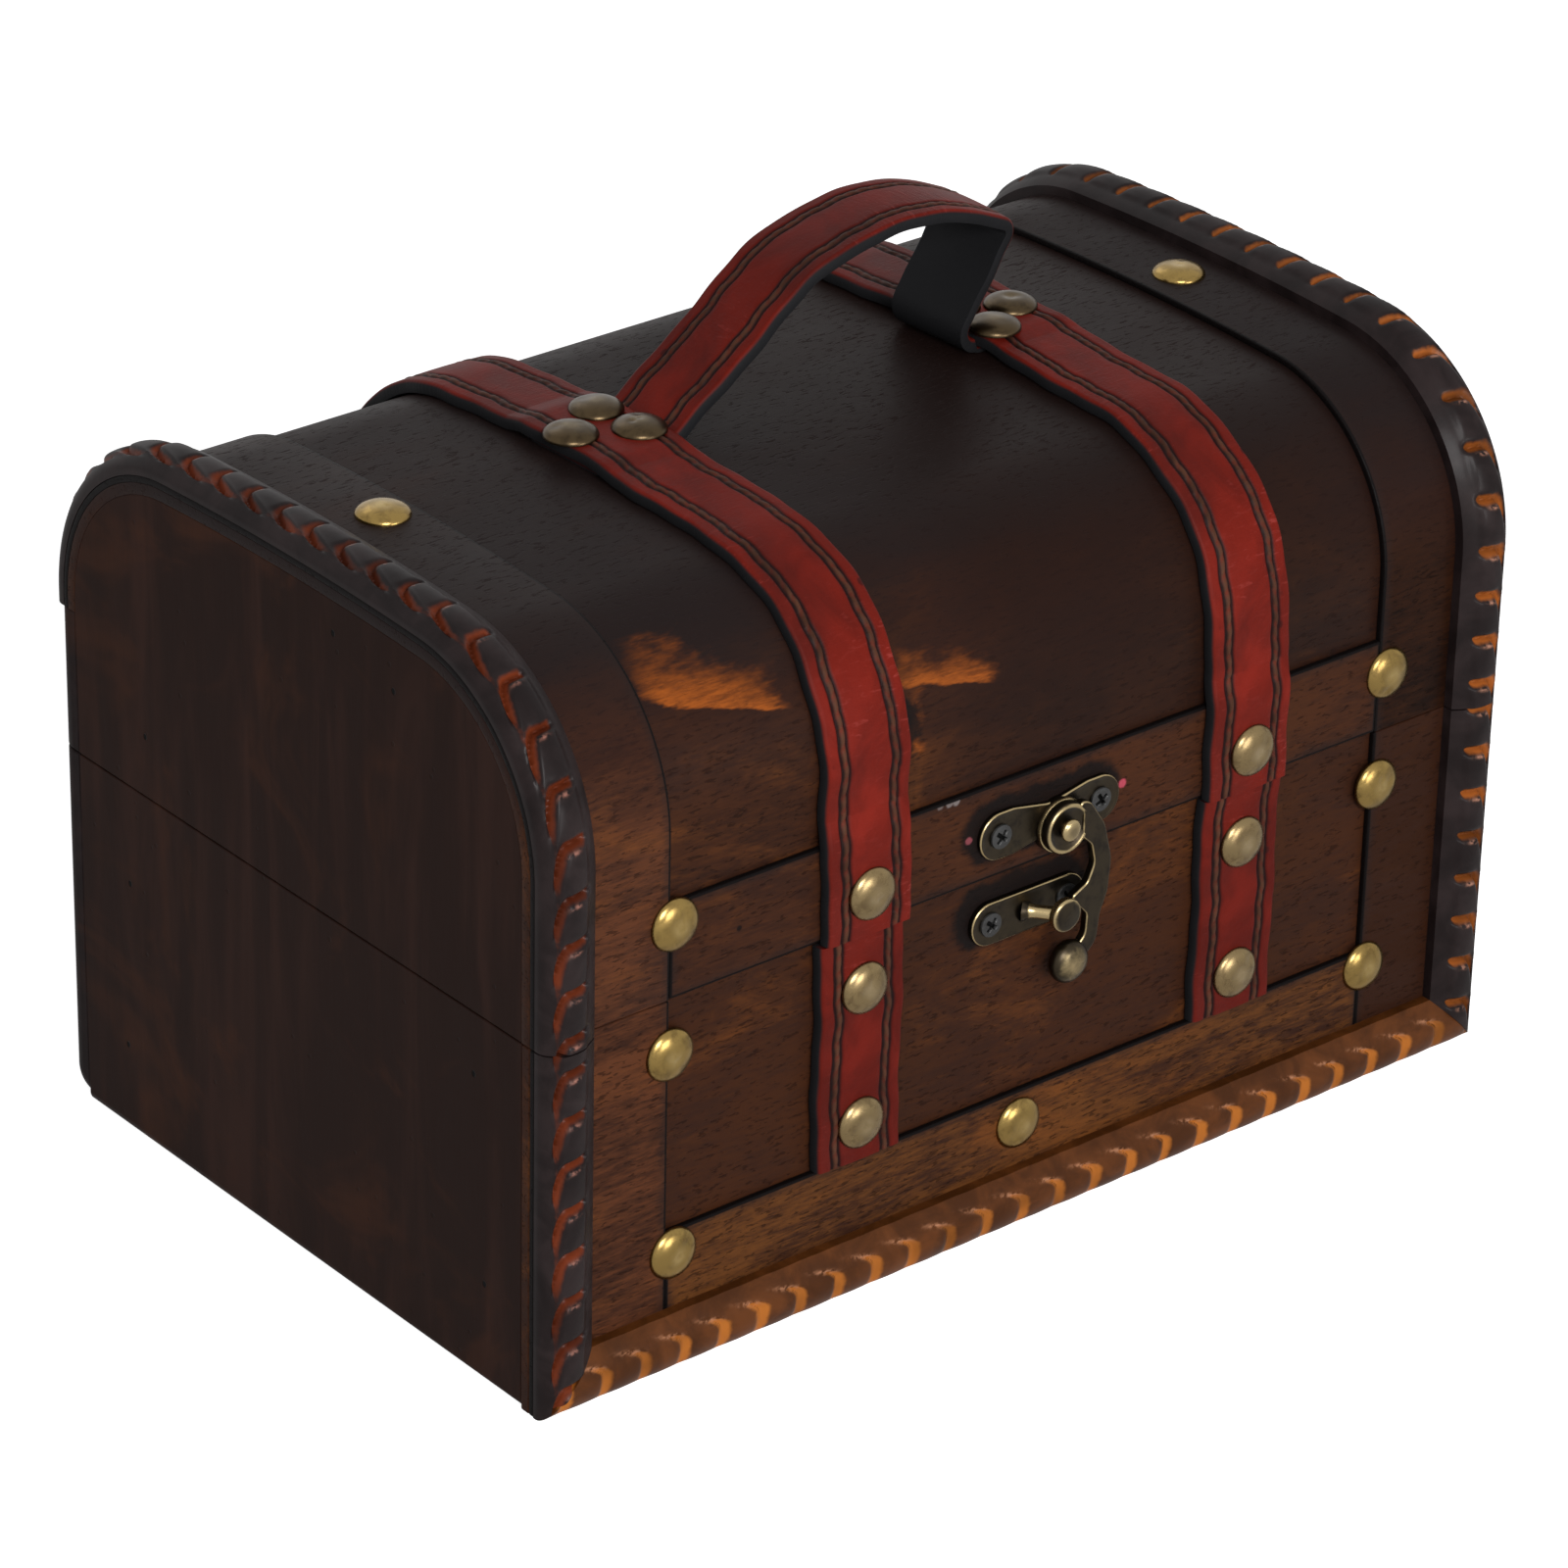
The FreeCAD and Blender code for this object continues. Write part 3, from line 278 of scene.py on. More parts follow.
class Finish:
    """A material built from nodes.  add() makes any node: its settings first, then its inputs."""

    def __init__(self, name, **constants):
        self.material = bpy.data.materials.new(name)
        self.material.use_nodes = True
        self.tree = self.material.node_tree
        self.shader = self.tree.nodes["Principled BSDF"]
        for socket, value in constants.items():
            self.shader.inputs[socket.replace("_", " ")].default_value = value
        self.place = self.add("ShaderNodeTexCoord", {}, {}, "Object").socket

    def add(self, kind, settings, inputs, output=0):
        node = self.tree.nodes.new(kind)
        for key, value in settings.items():
            setattr(node, key, value)
        for key, value in inputs.items():
            self.feed(node.inputs[key], value)
        return Value(self, node.outputs[output])

    def feed(self, socket, value):
        if isinstance(value, Value):
            value = value.socket
        if isinstance(value, bpy.types.NodeSocket):
            self.tree.links.new(value, socket)
        else:
            socket.default_value = value

    def attribute(self, name):
        """A number that the mesh carries at its points."""
        return self.add("ShaderNodeAttribute", {"attribute_name": name}, {}, "Fac")

    def axes(self):
        """The three coordinates of the surface, in metres."""
        node = self.tree.nodes.new("ShaderNodeSeparateXYZ")
        self.tree.links.new(self.place, node.inputs[0])
        return [Value(self, socket) for socket in node.outputs]

    def along(self, first, second):
        """A place on a strap, from the distances that its mesh carries."""
        self.place = self.add("ShaderNodeCombineXYZ", {}, {0: first, 1: second, 2: 0.0}).socket

    def noise(self, per_metre, detail=3.0, roughness=0.55, distortion=0.0):
        """Cloudy noise, 0 to 1, with so many features to the metre in each direction."""
        stretched = self.add("ShaderNodeVectorMath", {"operation": "MULTIPLY"},
                             {0: self.place, 1: per_metre})
        return self.add("ShaderNodeTexNoise", {}, {
            "Vector": stretched, "Scale": 1.0, "Detail": detail, "Roughness": roughness,
            "Distortion": distortion})

    def cells(self, per_metre):
        """Distance to the nearest of scattered points, with so many points to the metre."""
        stretched = self.add("ShaderNodeVectorMath", {"operation": "MULTIPLY"},
                             {0: self.place, 1: per_metre})
        return self.add("ShaderNodeTexVoronoi", {}, {"Vector": stretched, "Scale": 1.0}, "Distance")

    def mix(self, mask, under, over):
        """One colour laid over another where the mask is 1."""
        under, over = (tuple(part) + (1.0,) if not isinstance(part, Value) else part
                       for part in (under, over))
        return self.add("ShaderNodeMix", {"data_type": "RGBA"}, {0: mask, 6: under, 7: over}, 2)

    def set(self, **values):
        """Feed the shader's sockets, named with underscores for spaces."""
        for socket, value in values.items():
            self.feed(self.shader.inputs[socket.replace("_", " ")], value)

    def bump(self, height, depth, strength):
        """Relief of so many metres where the height goes from 0 to 1."""
        normal = self.add("ShaderNodeBump", {}, {"Strength": strength, "Distance": depth,
                                                 "Height": height})
        self.feed(self.shader.inputs["Normal"], normal)


# Finishes

def faded(stain, share):
    """A stain thinned or deepened by a share."""
    return tuple(part * share for part in stain)


def wood_look(finish, stain, dark, amber, grain, glow):
    """Short fibres and pores along the grain over cloudy patches of darker and amber stain.

    grain is the number of long features to the metre in X, Y and Z: small along the grain."""
    clouds = finish.noise(tuple(24 + axis * 0.03 for axis in grain), 5.0, 0.62, 0.5)
    patches = finish.noise(tuple(18 + axis * 0.022 for axis in grain), 5.0, 0.68, 0.8)
    fibres = finish.noise(tuple(axis * 0.85 + 40 for axis in grain), 4.0, 0.7, 0.4)
    pores = finish.noise(tuple(axis * 0.9 + 260 for axis in grain), 2.0, 0.6).step(0.56, 0.66)
    shade = (clouds * 0.70 + fibres * 0.60).step(0.48, 0.80)
    mixed = finish.mix(shade, dark, stain)
    warm = patches.step(0.50, 0.72) * (fibres.step(0.38, 0.62) * 0.5 + 0.5) * glow
    mixed = finish.mix(warm, mixed, amber)
    mixed = finish.mix(pores * 0.60, mixed, faded(dark, 0.35))
    return mixed, fibres, pores, clouds


def inside(value, low, high, soft):
    """1 between two planes, falling to 0 over a soft edge."""
    return (value - low).least(high - value).step(0.0, soft)


def burnt_edges(finish, mixed, low, high, axes):
    """Black line along the edges of a board, with a dark ragged margin inside it.

    Both follow the distance to the nearest edge square to the axes, and noise shifts the margin's."""
    width = 0.7 * MM
    ragged = (finish.noise((300, 300, 300), 3.0) - 0.5) * 1.6 * MM
    places = finish.axes()
    reach = None
    for axis in axes:
        gap = (places[axis] - low[axis]).least(high[axis] - places[axis])
        reach = gap if reach is None else reach.least(gap)
    margin = 1.0 - (reach + ragged).step(0.2 * MM, 2.6 * MM)
    line = 1.0 - reach.step(width * 0.6, width)
    return finish.mix(line, finish.mix(margin * 0.55, mixed, SINGED), SOOT)


def stained_wood(name, low, high, axes, stain, dark, amber, glow, halos=(), patches=(), flecks=(),
                 shine=0.04, dusk=0):
    """Varnished wood of one board.  Over the arch the stain deepens to a near black.

    low, high and axes are the board's box and the axes across its burnt edges.  halos are (x, z,
    half length, reach) dark rims: black wax, and painted shadow where they hug the latch plates.
    patches are (low x, high x, low level, high level), where the stain is rubbed off, sharp below
    and soft above.  flecks are (x, z, reach, colour).  dusk is how much the stain deepens to the
    right."""
    finish = Finish(name, Specular_IOR_Level=shine)
    mixed, fibres, pores, clouds = wood_look(finish, stain, dark, amber, (170, 1500, 1500), glow)
    x, y, z = finish.axes()
    drift = (finish.noise((22, 40, 40), 3.0) - 0.5) * 34 * MM
    mixed = finish.mix((z + drift).step(100 * MM, 122 * MM) * 0.75, mixed, SHOULDER_STAIN)
    mixed = finish.mix((z + drift).step(116 * MM, 136 * MM) * 0.85, mixed, TOP_STAIN)
    if dusk:
        mixed = finish.mix((x + drift * 0.5).step(-24 * MM, 0.0) * dusk, mixed, DUSK_STAIN)
    if patches:
        jag = (finish.noise((55, 150, 150), 4.0, 0.7) - 0.5) * 16 * MM
        front = finish.attribute("face") * (-40 * MM - y).step(0.0, 4 * MM)
        level = z + x * 0.25
        streaks = fibres.step(0.28, 0.62) * 0.6 + 0.4
        for low_x, high_x, low_level, high_level in patches:
            across = inside(x + jag * 0.8, low_x, high_x, 4 * MM)
            rise = ((level + jag * 0.30 - low_level).step(0.0, 0.7 * MM)
                    * (high_level - level - jag).step(0.0, 8 * MM))
            mixed = finish.mix(across * rise * streaks * front, mixed, BARE_WOOD)
    wander = (finish.noise((260, 260, 260), 4.0, 0.65) - 0.5) * 4 * MM
    # Dark rims of black wax; about the latch plates they are also painted shadow
    for spot_x, spot_z, half, reach in halos:
        beyond = ((x - spot_x).most(spot_x - x) - half).most(0.0)
        away = (beyond ** 2.0 + (z - spot_z) ** 2.0) ** 0.5 + wander
        mixed = finish.mix((1.0 - away.step(reach * 0.80, reach * 1.12)) * 0.93, mixed, WAX_AND_SHADOW)
    for spot_x, spot_z, reach, tint in flecks:
        away = ((x - spot_x) ** 2.0 + (z - spot_z) ** 2.0) ** 0.5 + wander * 0.35
        mixed = finish.mix((1.0 - away.step(reach * 0.5, reach)) * 0.85, mixed, tint)
    if axes:
        mixed = burnt_edges(finish, mixed, low, high, axes)
    finish.set(Base_Color=mixed, Roughness=0.36 + clouds * 0.16 + pores * 0.2)
    waves = finish.noise((60, 60, 60), 2.0)
    finish.bump(fibres * 0.35 - pores * 0.5 + waves * 1.5, 0.16 * MM, 0.5)
    return finish.material


def black_wood(name, stain, amber, grain, pins=()):
    """Nearly black varnished wood with dull red-brown clouds.  pins are (y, z) of punched heads."""
    finish = Finish(name, Specular_IOR_Level=0.03)
    clouds = finish.noise(tuple(axis * 0.09 for axis in grain), 4.0, 0.6, 0.8)
    fibres = finish.noise(grain, 3.0, 0.6, 0.2)
    glow = finish.noise((28, 28, 28), 4.0, 0.65, 1.0).step(0.50, 0.74)
    mixed = finish.mix(clouds.step(0.4, 0.75), faded(stain, 0.75), faded(stain, 1.5))
    mixed = finish.mix(glow * (0.4 + 0.6 * fibres) * 0.55, mixed, amber)
    specks = 1.0 - finish.cells((160, 160, 160)).step(0.05, 0.09)
    _, y, z = finish.axes()
    pits = specks * 0.25
    for spot_y, spot_z in pins:
        away = (((y - spot_y) * 1.2) ** 2.0 + (z - spot_z) ** 2.0) ** 0.5
        pits = pits.most(1.0 - away.step(0.45 * MM, 0.75 * MM))
    mixed = finish.mix(pits, mixed, PIT)
    finish.set(Base_Color=mixed, Roughness=0.38 + clouds * 0.2)
    waves = finish.noise((45, 45, 45), 2.0)
    finish.bump(fibres * 0.3 + waves * 2.0 - pits * 2.0, 0.15 * MM, 0.5)
    return finish.material


def carved_wood(name, crown, valley, highlight, deep):
    """Carved moulding.  The mesh carries 'valley', 1 in the valleys, 'hollow', 1 at their bottom, where
    painted shade darkens them, and 'lip', 1 where a pale highlight is painted.  deep is how dark the
    painted shade gets."""
    finish = Finish(name, Specular_IOR_Level=0.07, Coat_Roughness=0.22)
    clouds = finish.noise((110, 110, 110), 4.0, 0.6, 0.5)
    fine = finish.noise((900, 900, 900), 3.0)
    broad = finish.noise((38, 38, 38), 3.0, 0.6)
    mixed = finish.mix(clouds.step(0.35, 0.7), faded(crown, 0.65), faded(crown, 1.35))
    ragged = finish.attribute("valley") + (clouds - 0.5) * 0.9 + (fine - 0.5) * 0.3
    tint = finish.mix(broad.step(0.34, 0.56), faded(valley, 0.40), valley)
    mixed = finish.mix(ragged.step(0.30, 0.85), mixed, tint)
    # Painted shade at the bottom of the valleys, and in the nicks of the foot's lobes
    mixed = finish.mix(finish.attribute("hollow").step(0.55, 1.0) * deep, mixed, faded(valley, 0.10))
    # Painted highlight on the lips
    mixed = finish.mix(finish.attribute("lip") * fine.step(0.40, 0.60), mixed, highlight)
    finish.set(Base_Color=mixed, Roughness=0.34 + clouds * 0.22, Coat_Weight=0.02 + clouds * 0.10)
    finish.bump(fine * 0.4 + clouds * 1.2, 0.12 * MM, 0.5)
    return finish.material


def leather_look(name, colours, share):
    """Red leather of a strap, in the strap's own (along, across) place.

    share deepens the face.  The mesh carries 'cut', 1 on the cut edges and the back, 'seam', 1 on the
    stitches, 'furrow', 1 in the two furrows beside them, and 'wear', 1 where the face is cracked."""
    face, thread = faded(colours.leather, share), colours.thread
    finish = Finish(name, Specular_IOR_Level=0.06)
    along, across = finish.attribute("along"), finish.attribute("across")
    finish.along(along, across)
    clouds = finish.noise((70, 90, 1), 4.0, 0.6, 0.8)
    pores = finish.cells((1500, 1500, 1))
    creases = finish.noise((1100, 260, 1), 4.0, 0.62, 0.8)
    patches = finish.noise((38, 55, 1), 3.0, 0.6, 0.5).step(0.50, 0.72)
    cracks = finish.attribute("wear")
    broad = finish.noise((24, 40, 1), 3.0, 0.6)
    mixed = finish.mix(clouds.step(0.3, 0.75), faded(face, 0.62), faded(face, 1.12))
    mixed = finish.mix(broad.step(0.46, 0.70) * 0.55, mixed, OLD_LEATHER)
    spots = 1.0 - finish.cells((95, 120, 1)).step(0.05, 0.10)
    mixed = finish.mix(spots * 0.7, mixed, LEATHER_SPOT)
    split = creases.step(0.56, 0.70) * (patches * 0.22 + cracks).least(1.0)
    mixed = finish.mix(split, mixed, colours.leather_worn)
    seam, furrow, cut = (finish.attribute(word) for word in ("seam", "furrow", "cut"))
    mixed = finish.mix(seam, mixed, finish.mix(clouds.step(0.35, 0.65), thread, faded(thread, 2.0)))
    # Painted shade darkens the furrows beside the stitches
    mixed = finish.mix((furrow * 1.25).least(1.0) * 0.95, mixed, FURROW_SHADE)
    mixed = finish.mix(cut, mixed, colours.leather_black)
    finish.set(Base_Color=mixed, Roughness=0.40 + clouds * 0.14 + cut * 0.12)
    height = pores * 0.25 + creases * (0.4 + patches * 1.0 + cracks * 2.0) + clouds * 0.8
    finish.bump(height, 0.16 * MM, 0.6)
    return finish.material


def metal_look(name, face, worn, tarnish, roughness, patina):
    """Old metal: bright on the carried 'worn' mask, dulled by clouds of tarnish elsewhere, and black
    on the carried 'sunk' mask, where dirt has settled.  patina is how much the tarnish covers."""
    finish = Finish(name, Metallic=1.0)
    clouds = finish.noise((420, 420, 420), 4.0, 0.65, 0.4)
    fine = finish.noise((2600, 2600, 2600), 3.0, 0.6)
    mixed = finish.mix(clouds.step(0.42, 0.72) * patina, face, tarnish)
    rubbed = (finish.attribute("worn") + (clouds - 0.5) * 0.5).step(0.35, 0.75)
    mixed = finish.mix(rubbed, mixed, worn)
    mixed = finish.mix(finish.attribute("sunk"), mixed, BLACK_DIRT)
    finish.set(Base_Color=mixed, Roughness=roughness + clouds * 0.16 - rubbed * 0.08)
    finish.bump(fine * 0.2 + clouds * 0.8, 0.08 * MM, 0.3)
    return finish.material


# Routes and surfaces

class Route:
    """A run of straight lines whose (x, y, radius) corners are rounded by arcs.

    An arc starts radius * tan(half the turn) before its corner and turns about a centre that stands
    one radius to the side.  Places, headings and distances are kept at closely spaced points."""

    def __init__(self, corners, spacing=0.2 * MM):
        corners = [(np.array(corner[:2], float), corner[2]) for corner in corners]
        places, headings = [corners[0][0]], []
        for (before, _), (corner, radius), (after, _) in zip(corners, corners[1:], corners[2:]):
            arriving = (corner - before) / np.linalg.norm(corner - before)
            leaving = (after - corner) / np.linalg.norm(after - corner)
            first = math.atan2(arriving[1], arriving[0])
            turn = math.atan2(arriving[0] * leaving[1] - arriving[1] * leaving[0], arriving @ leaving)
            reach = radius * math.tan(abs(turn) / 2)
            start = corner - arriving * reach
            count = max(3, int(radius * abs(turn) / spacing))
            heading = first + turn * np.linspace(0, 1, count)
            side = math.copysign(radius, turn)
            centre = start + side * np.array([-math.sin(first), math.cos(first)])
            arc = centre + side * np.stack([np.sin(heading), -np.cos(heading)], 1)
            if not headings:
                headings.append(first)
            places.extend(arc)
            headings.extend(heading)
        places.append(corners[-1][0])
        headings.append(headings[-1] if headings else 0.0)
        self.places = np.array(places)
        self.headings = np.array(headings)
        steps = np.linalg.norm(np.diff(self.places, axis=0), axis=1)
        self.distances = np.concatenate([[0], np.cumsum(steps)])
        self.length = self.distances[-1]

    def at(self, distance):
        """Places and left-hand sides at an array of distances."""
        distance = np.asarray(distance, float)
        x, y, heading = (np.interp(distance, self.distances, row)
                         for row in (self.places[:, 0], self.places[:, 1], self.headings))
        return np.stack([x, y], -1), np.stack([-np.sin(heading), np.cos(heading)], -1)

    def raised(self, distance, out):
        """Places so far along the route and so far out to its left."""
        place, left = self.at(distance)
        return place + left * out[..., None]


def arch_corners(offset):
    """Corners of the lid's outline at a distance outside the skin: up the front, over, down the back.

    The crown's arc meets each shoulder's where both lean by the same angle, asin((half depth -
    shoulder) / (crown - shoulder)), so the outline is four lines with three rounded corners."""
    reach = PANEL_FACE + offset
    lean = math.asin((PANEL_FACE - ARCH_RADIUS) / (CROWN_RADIUS - ARCH_RADIUS))
    peak = SKIN_TOP - CROWN_RADIUS + (CROWN_RADIUS + offset) / math.cos(lean)
    corner = peak - reach * math.tan(lean)
    return [(-reach, LID_FOOT, 0), (-reach, corner, ARCH_RADIUS + offset),
            (0, peak, CROWN_RADIUS + offset), (reach, corner, ARCH_RADIUS + offset),
            (reach, BACK_TOP, 0)]


def grid_faces(rows, columns, first=0):
    """Quads of a grid whose columns wrap round, as an array of corner numbers."""
    row, column = np.meshgrid(np.arange(rows - 1), np.arange(columns), indexing="ij")
    following = (column + 1) % columns
    quads = np.stack([row * columns + column, row * columns + following,
                      (row + 1) * columns + following, (row + 1) * columns + column], -1)
    return quads.reshape(-1, 4) + first


class Shells:
    """Gathers closed grids into one mesh, with the numbers that its points carry."""

    def __init__(self):
        self.points, self.faces, self.caps, self.carried = [], [], [], []
        self.count = 0

    def add(self, grid, capped=True, **carried):
        """A grid of (rows, columns, 3) points whose columns wrap.

        A face closes it at each end, unless its last row meets its first."""
        rows, columns = grid.shape[:2]
        self.points.append(grid.reshape(-1, 3))
        self.faces.append(grid_faces(rows, columns, self.count))
        if capped:
            self.caps.append(list(range(self.count + columns - 1, self.count - 1, -1)))
            last = self.count + (rows - 1) * columns
            self.caps.append(list(range(last, last + columns)))
        self.carried.append({key: np.broadcast_to(value, (rows, columns)).reshape(-1)
                             for key, value in carried.items()})
        self.count += rows * columns

    def make(self, name, node_names, body, material, crease=math.radians(38)):
        """Turn the gathered grids into a piece that stands for the CAD nodes."""
        points = np.concatenate(self.points)
        quads = np.concatenate(self.faces)
        mesh = bpy.data.meshes.new(name)
        mesh.from_pydata(points.tolist(), [], quads.tolist() + self.caps)
        keys = sorted({key for part in self.carried for key in part})
        for key in keys:
            numbers = np.concatenate([part.get(key, np.zeros(len(places))) for part, places
                                      in zip(self.carried, self.points)]).astype(np.float32)
            mesh.attributes.new(key, "FLOAT", "POINT").data.foreach_set("value", numbers)
        mesh.update()
        built = bmesh.new()
        built.from_mesh(mesh)
        bmesh.ops.remove_doubles(built, verts=built.verts, dist=1e-7)
        bmesh.ops.recalc_face_normals(built, faces=built.faces)
        built.to_mesh(mesh)
        built.free()
        return finish_piece(name, mesh, node_names, body, material, crease)


def finish_piece(name, mesh, node_names, body, material, crease):
    """Shade a mesh, put it in the scene, hang it on its body, and hide the CAD nodes that it stands for."""
    mesh.polygons.foreach_set("use_smooth", np.ones(len(mesh.polygons), bool))
    mesh.set_sharp_from_angle(angle=crease)
    piece = bpy.data.objects.new(name, mesh)
    bpy.context.scene.collection.objects.link(piece)
    mesh.materials.append(material)
    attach(piece, body)
    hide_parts(*node_names)
    return piece


def dress_board(node, material, edge):
    """Give a CAD board a finish and rounded edges: weld, merge flat faces, then bevel."""
    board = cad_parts[node]
    board.material_slots[0].material = material
    weld = board.modifiers.new("weld", "WELD")
    weld.merge_threshold = 0.005 * MM
    flat = board.modifiers.new("flat faces", "DECIMATE")
    flat.decimate_type = "DISSOLVE"
    flat.angle_limit = math.radians(0.5)
    bevel = board.modifiers.new("edges", "BEVEL")
    bevel.width = edge
    bevel.segments = 3
    bevel.limit_method = "ANGLE"
    bevel.angle_limit = math.radians(30)


def rounded_section(half_width, height, round_top, round_foot):
    """A closed (across, out) section with its four corners rounded by quarter circles."""
    places = []
    for centre_across, centre_out, radius, first in (
            (half_width - round_foot, round_foot, round_foot, -90),
            (half_width - round_top, height - round_top, round_top, 0),
            (-half_width + round_top, height - round_top, round_top, 90),
            (-half_width + round_foot, round_foot, round_foot, 180)):
        angle = np.radians(first + np.linspace(0, 90, 4))
        places.append(np.stack([centre_across + radius * np.cos(angle),
                                centre_out + radius * np.sin(angle)], 1))
    return np.concatenate(places)


# Arched wood

def arched_strip(name, nodes, low_x, high_x, inner, outer, edge, material):
    """A bent board: a rounded section carried along the arch.

    Point (s, k) = arch(s) + across_k * X + out_k * outward.  The mesh carries 'face', 1 outside."""
    route = Route(arch_corners(0.0))
    distance = np.linspace(0, route.length, int(route.length / (1.2 * MM)))
    section = rounded_section((high_x - low_x) / 2, outer - inner, edge, edge * 0.5)
    across, height = section[:, 0] + (low_x + high_x) / 2, section[:, 1] + inner
    lifted = route.raised(distance[:, None], height)
    grid = np.concatenate([np.broadcast_to(across[None, :, None], lifted.shape[:2] + (1,)), lifted], 2)
    shells = Shells()
    shells.add(grid, face=(height > (inner + outer) / 2).astype(float)[None, :])
    return shells.make(name, nodes, "lid", material, math.radians(30))


# Carved mouldings

def moulding_height(sizes, across):
    """Height of the plain moulding: a quarter ellipse up to the crest, then a gentle fall."""
    ridge, lip, wall = sizes.lobe_width * 5 / 11, 0.6 * MM, 2.0 * MM
    rise = np.sqrt(np.clip(1 - ((ridge - across) / ridge) ** 2, 0, 1))
    fall = np.clip((across - ridge) / (sizes.lobe_width - ridge), 0, 1)
    return np.where(across < ridge, lip + (sizes.lobe_crest - lip) * rise,
                    sizes.lobe_crest - (sizes.lobe_crest - wall) * fall ** 2)


def smooth(value, low, high):
    """A smooth rise from 0, at low, to 1, at high."""
    share = np.clip((value - low) / (high - low), 0, 1)
    return share * share * (3 - 2 * share)


def hooked_lobes(sizes, across, along, start):
    """Standing lobes: a valley crosses the face and turns down along its outer margin.

    A valley's line lies at start + k * pitch + 0.12 * (across - 5 mm) - 0.62 * pitch * (1 - (across
    - margin) / reach) ** 2, where the last part ends at across = margin + reach.  The depth falls
    off as a bell of the distance square to that line, and fades at both edges of the moulding."""
    pitch, margin, reach = sizes.lobe_pitch, 1.7 * MM, 2.6 * MM
    tail = np.clip(1 - (across - margin) / reach, 0, 1)
    line = start + 0.12 * (across - 5 * MM) - 0.62 * pitch * tail ** 2
    slope = 1.24 * pitch * tail / reach
    gap = (line - along) % pitch
    square = np.minimum(gap, pitch - gap) / np.sqrt(1 + slope ** 2)
    fade = smooth(across, 1.3 * MM, 2.2 * MM) * (1 - smooth(across, 7.4 * MM, 8.8 * MM))
    bell = np.exp(-(square / (0.70 * MM)) ** 2) * fade
    crown = np.sin(np.pi * np.clip(gap / pitch, 0, 1) ** 0.7) * fade
    valley = np.exp(-(square / (1.05 * MM)) ** 2) * fade
    # lip: a painted highlight across the face just below each valley
    rim = np.exp(-((across - 2.0 * MM) / (0.5 * MM)) ** 2) * 0.45
    lip = (np.exp(-((gap - 1.35 * MM) / (0.30 * MM)) ** 2) * fade
           * np.exp(-((across - 5.2 * MM) / (1.1 * MM)) ** 2))
    # bell also marks the valley bottoms that the finish darkens with painted shade
    return (crown * 0.45 * MM - bell * sizes.valley_depth, np.maximum(valley, rim), bell, lip * 0.8)


def upright_lobes(sizes, across, along, start):
    """Lobes of the moulding at the foot: soft valleys from the crest down to the lower edge.

    At its upper end each valley's line bends back along the moulding as a parabola and ends in a
    nick that is painted dark as shade, with a painted highlight above it."""
    pitch, ridge = sizes.foot_pitch, sizes.lobe_width * 0.66
    bend = np.clip((across - ridge + 1.6 * MM) / (1.6 * MM), 0, 2)
    line = start - 1.7 * MM * bend ** 2
    gap = (along - line + pitch / 2) % pitch - pitch / 2
    fade = 1 - smooth(across, ridge - 0.1 * MM, ridge + 0.9 * MM)
    bell = np.exp(-(gap / (0.9 * MM)) ** 2) * fade
    valley = np.exp(-((gap - 0.2 * MM) / (1.55 * MM)) ** 2) * fade
    # nick: a crack that is only painted dark, as shade, not carved
    nick = (np.exp(-((gap + 0.5 * MM) / (0.35 * MM)) ** 2) * fade
            * smooth(across, ridge - 3.2 * MM, ridge - 1.0 * MM))
    # lip: a painted highlight above each nick
    lip = (np.exp(-((across - ridge - 0.5 * MM) / (0.7 * MM)) ** 2)
           * np.exp(-((gap - 0.4 * MM) / (1.2 * MM)) ** 2))
    crown = np.cos(np.pi * gap / pitch) ** 2
    relief = bell * sizes.valley_depth * 0.5 * smooth(across, 0.2 * MM, 3 * MM)
    return -relief - crown * 0.12 * MM, valley, nick, lip


def moulding_columns(sizes):
    """Distances across the moulding's face, close together where the round starts."""
    turn = np.radians(np.linspace(0, 90, 22))
    round_part = sizes.lobe_width * 5 / 11 * (1 - np.cos(turn))
    return np.concatenate([round_part, np.linspace(round_part[-1], sizes.lobe_width, 18)[1:]])


def moulding_shell(shells, sizes, run, place, lobes, start):
    """Carry the carved section along a run, and close it by two corners at the back.

    run holds the number of rows and the two ends of the run, low and high, at each distance across.
    place turns (across, out, along) into points."""
    across = moulding_columns(sizes)
    share = np.linspace(0, 1, run["rows"])[:, None]
    along = run["low"](across) * (1 - share) + run["high"](across) * share
    wide = np.broadcast_to(across, along.shape)
    relief, valley, hollow, lip = lobes(sizes, wide, along, start)
    out = np.maximum(moulding_height(sizes, wide) + relief, 0.25 * MM)
    back = [np.broadcast_to(part, (run["rows"], 1)) for part in (across[-1], across[0])]
    back_along = [run["low"](across[column]) * (1 - share) + run["high"](across[column]) * share
                  for column in (-1, 0)]
    wide = np.concatenate([wide] + back, 1)
    out = np.concatenate([out] + [np.zeros((run["rows"], 1))] * 2, 1)
    along = np.concatenate([along] + back_along, 1)
    none = np.zeros((run["rows"], 2))
    shells.add(place(wide, out, along), valley=np.concatenate([valley, none], 1),
               hollow=np.concatenate([hollow, none], 1), lip=np.concatenate([lip, none], 1))


# Leather

def strap_columns(sizes, half):
    """Distances across a strap's face, close together about its seams."""
    seam = half - sizes.seam_inset
    parts = [np.linspace(-half, -seam - 1.6 * MM, 8), np.linspace(-seam - 1.6 * MM, -seam + 1.6 * MM, 23),
             np.linspace(-seam + 1.6 * MM, seam - 1.6 * MM, 12),
             np.linspace(seam - 1.6 * MM, seam + 1.6 * MM, 23), np.linspace(seam + 1.6 * MM, half, 8)]
    return np.unique(np.concatenate(parts).round(7))


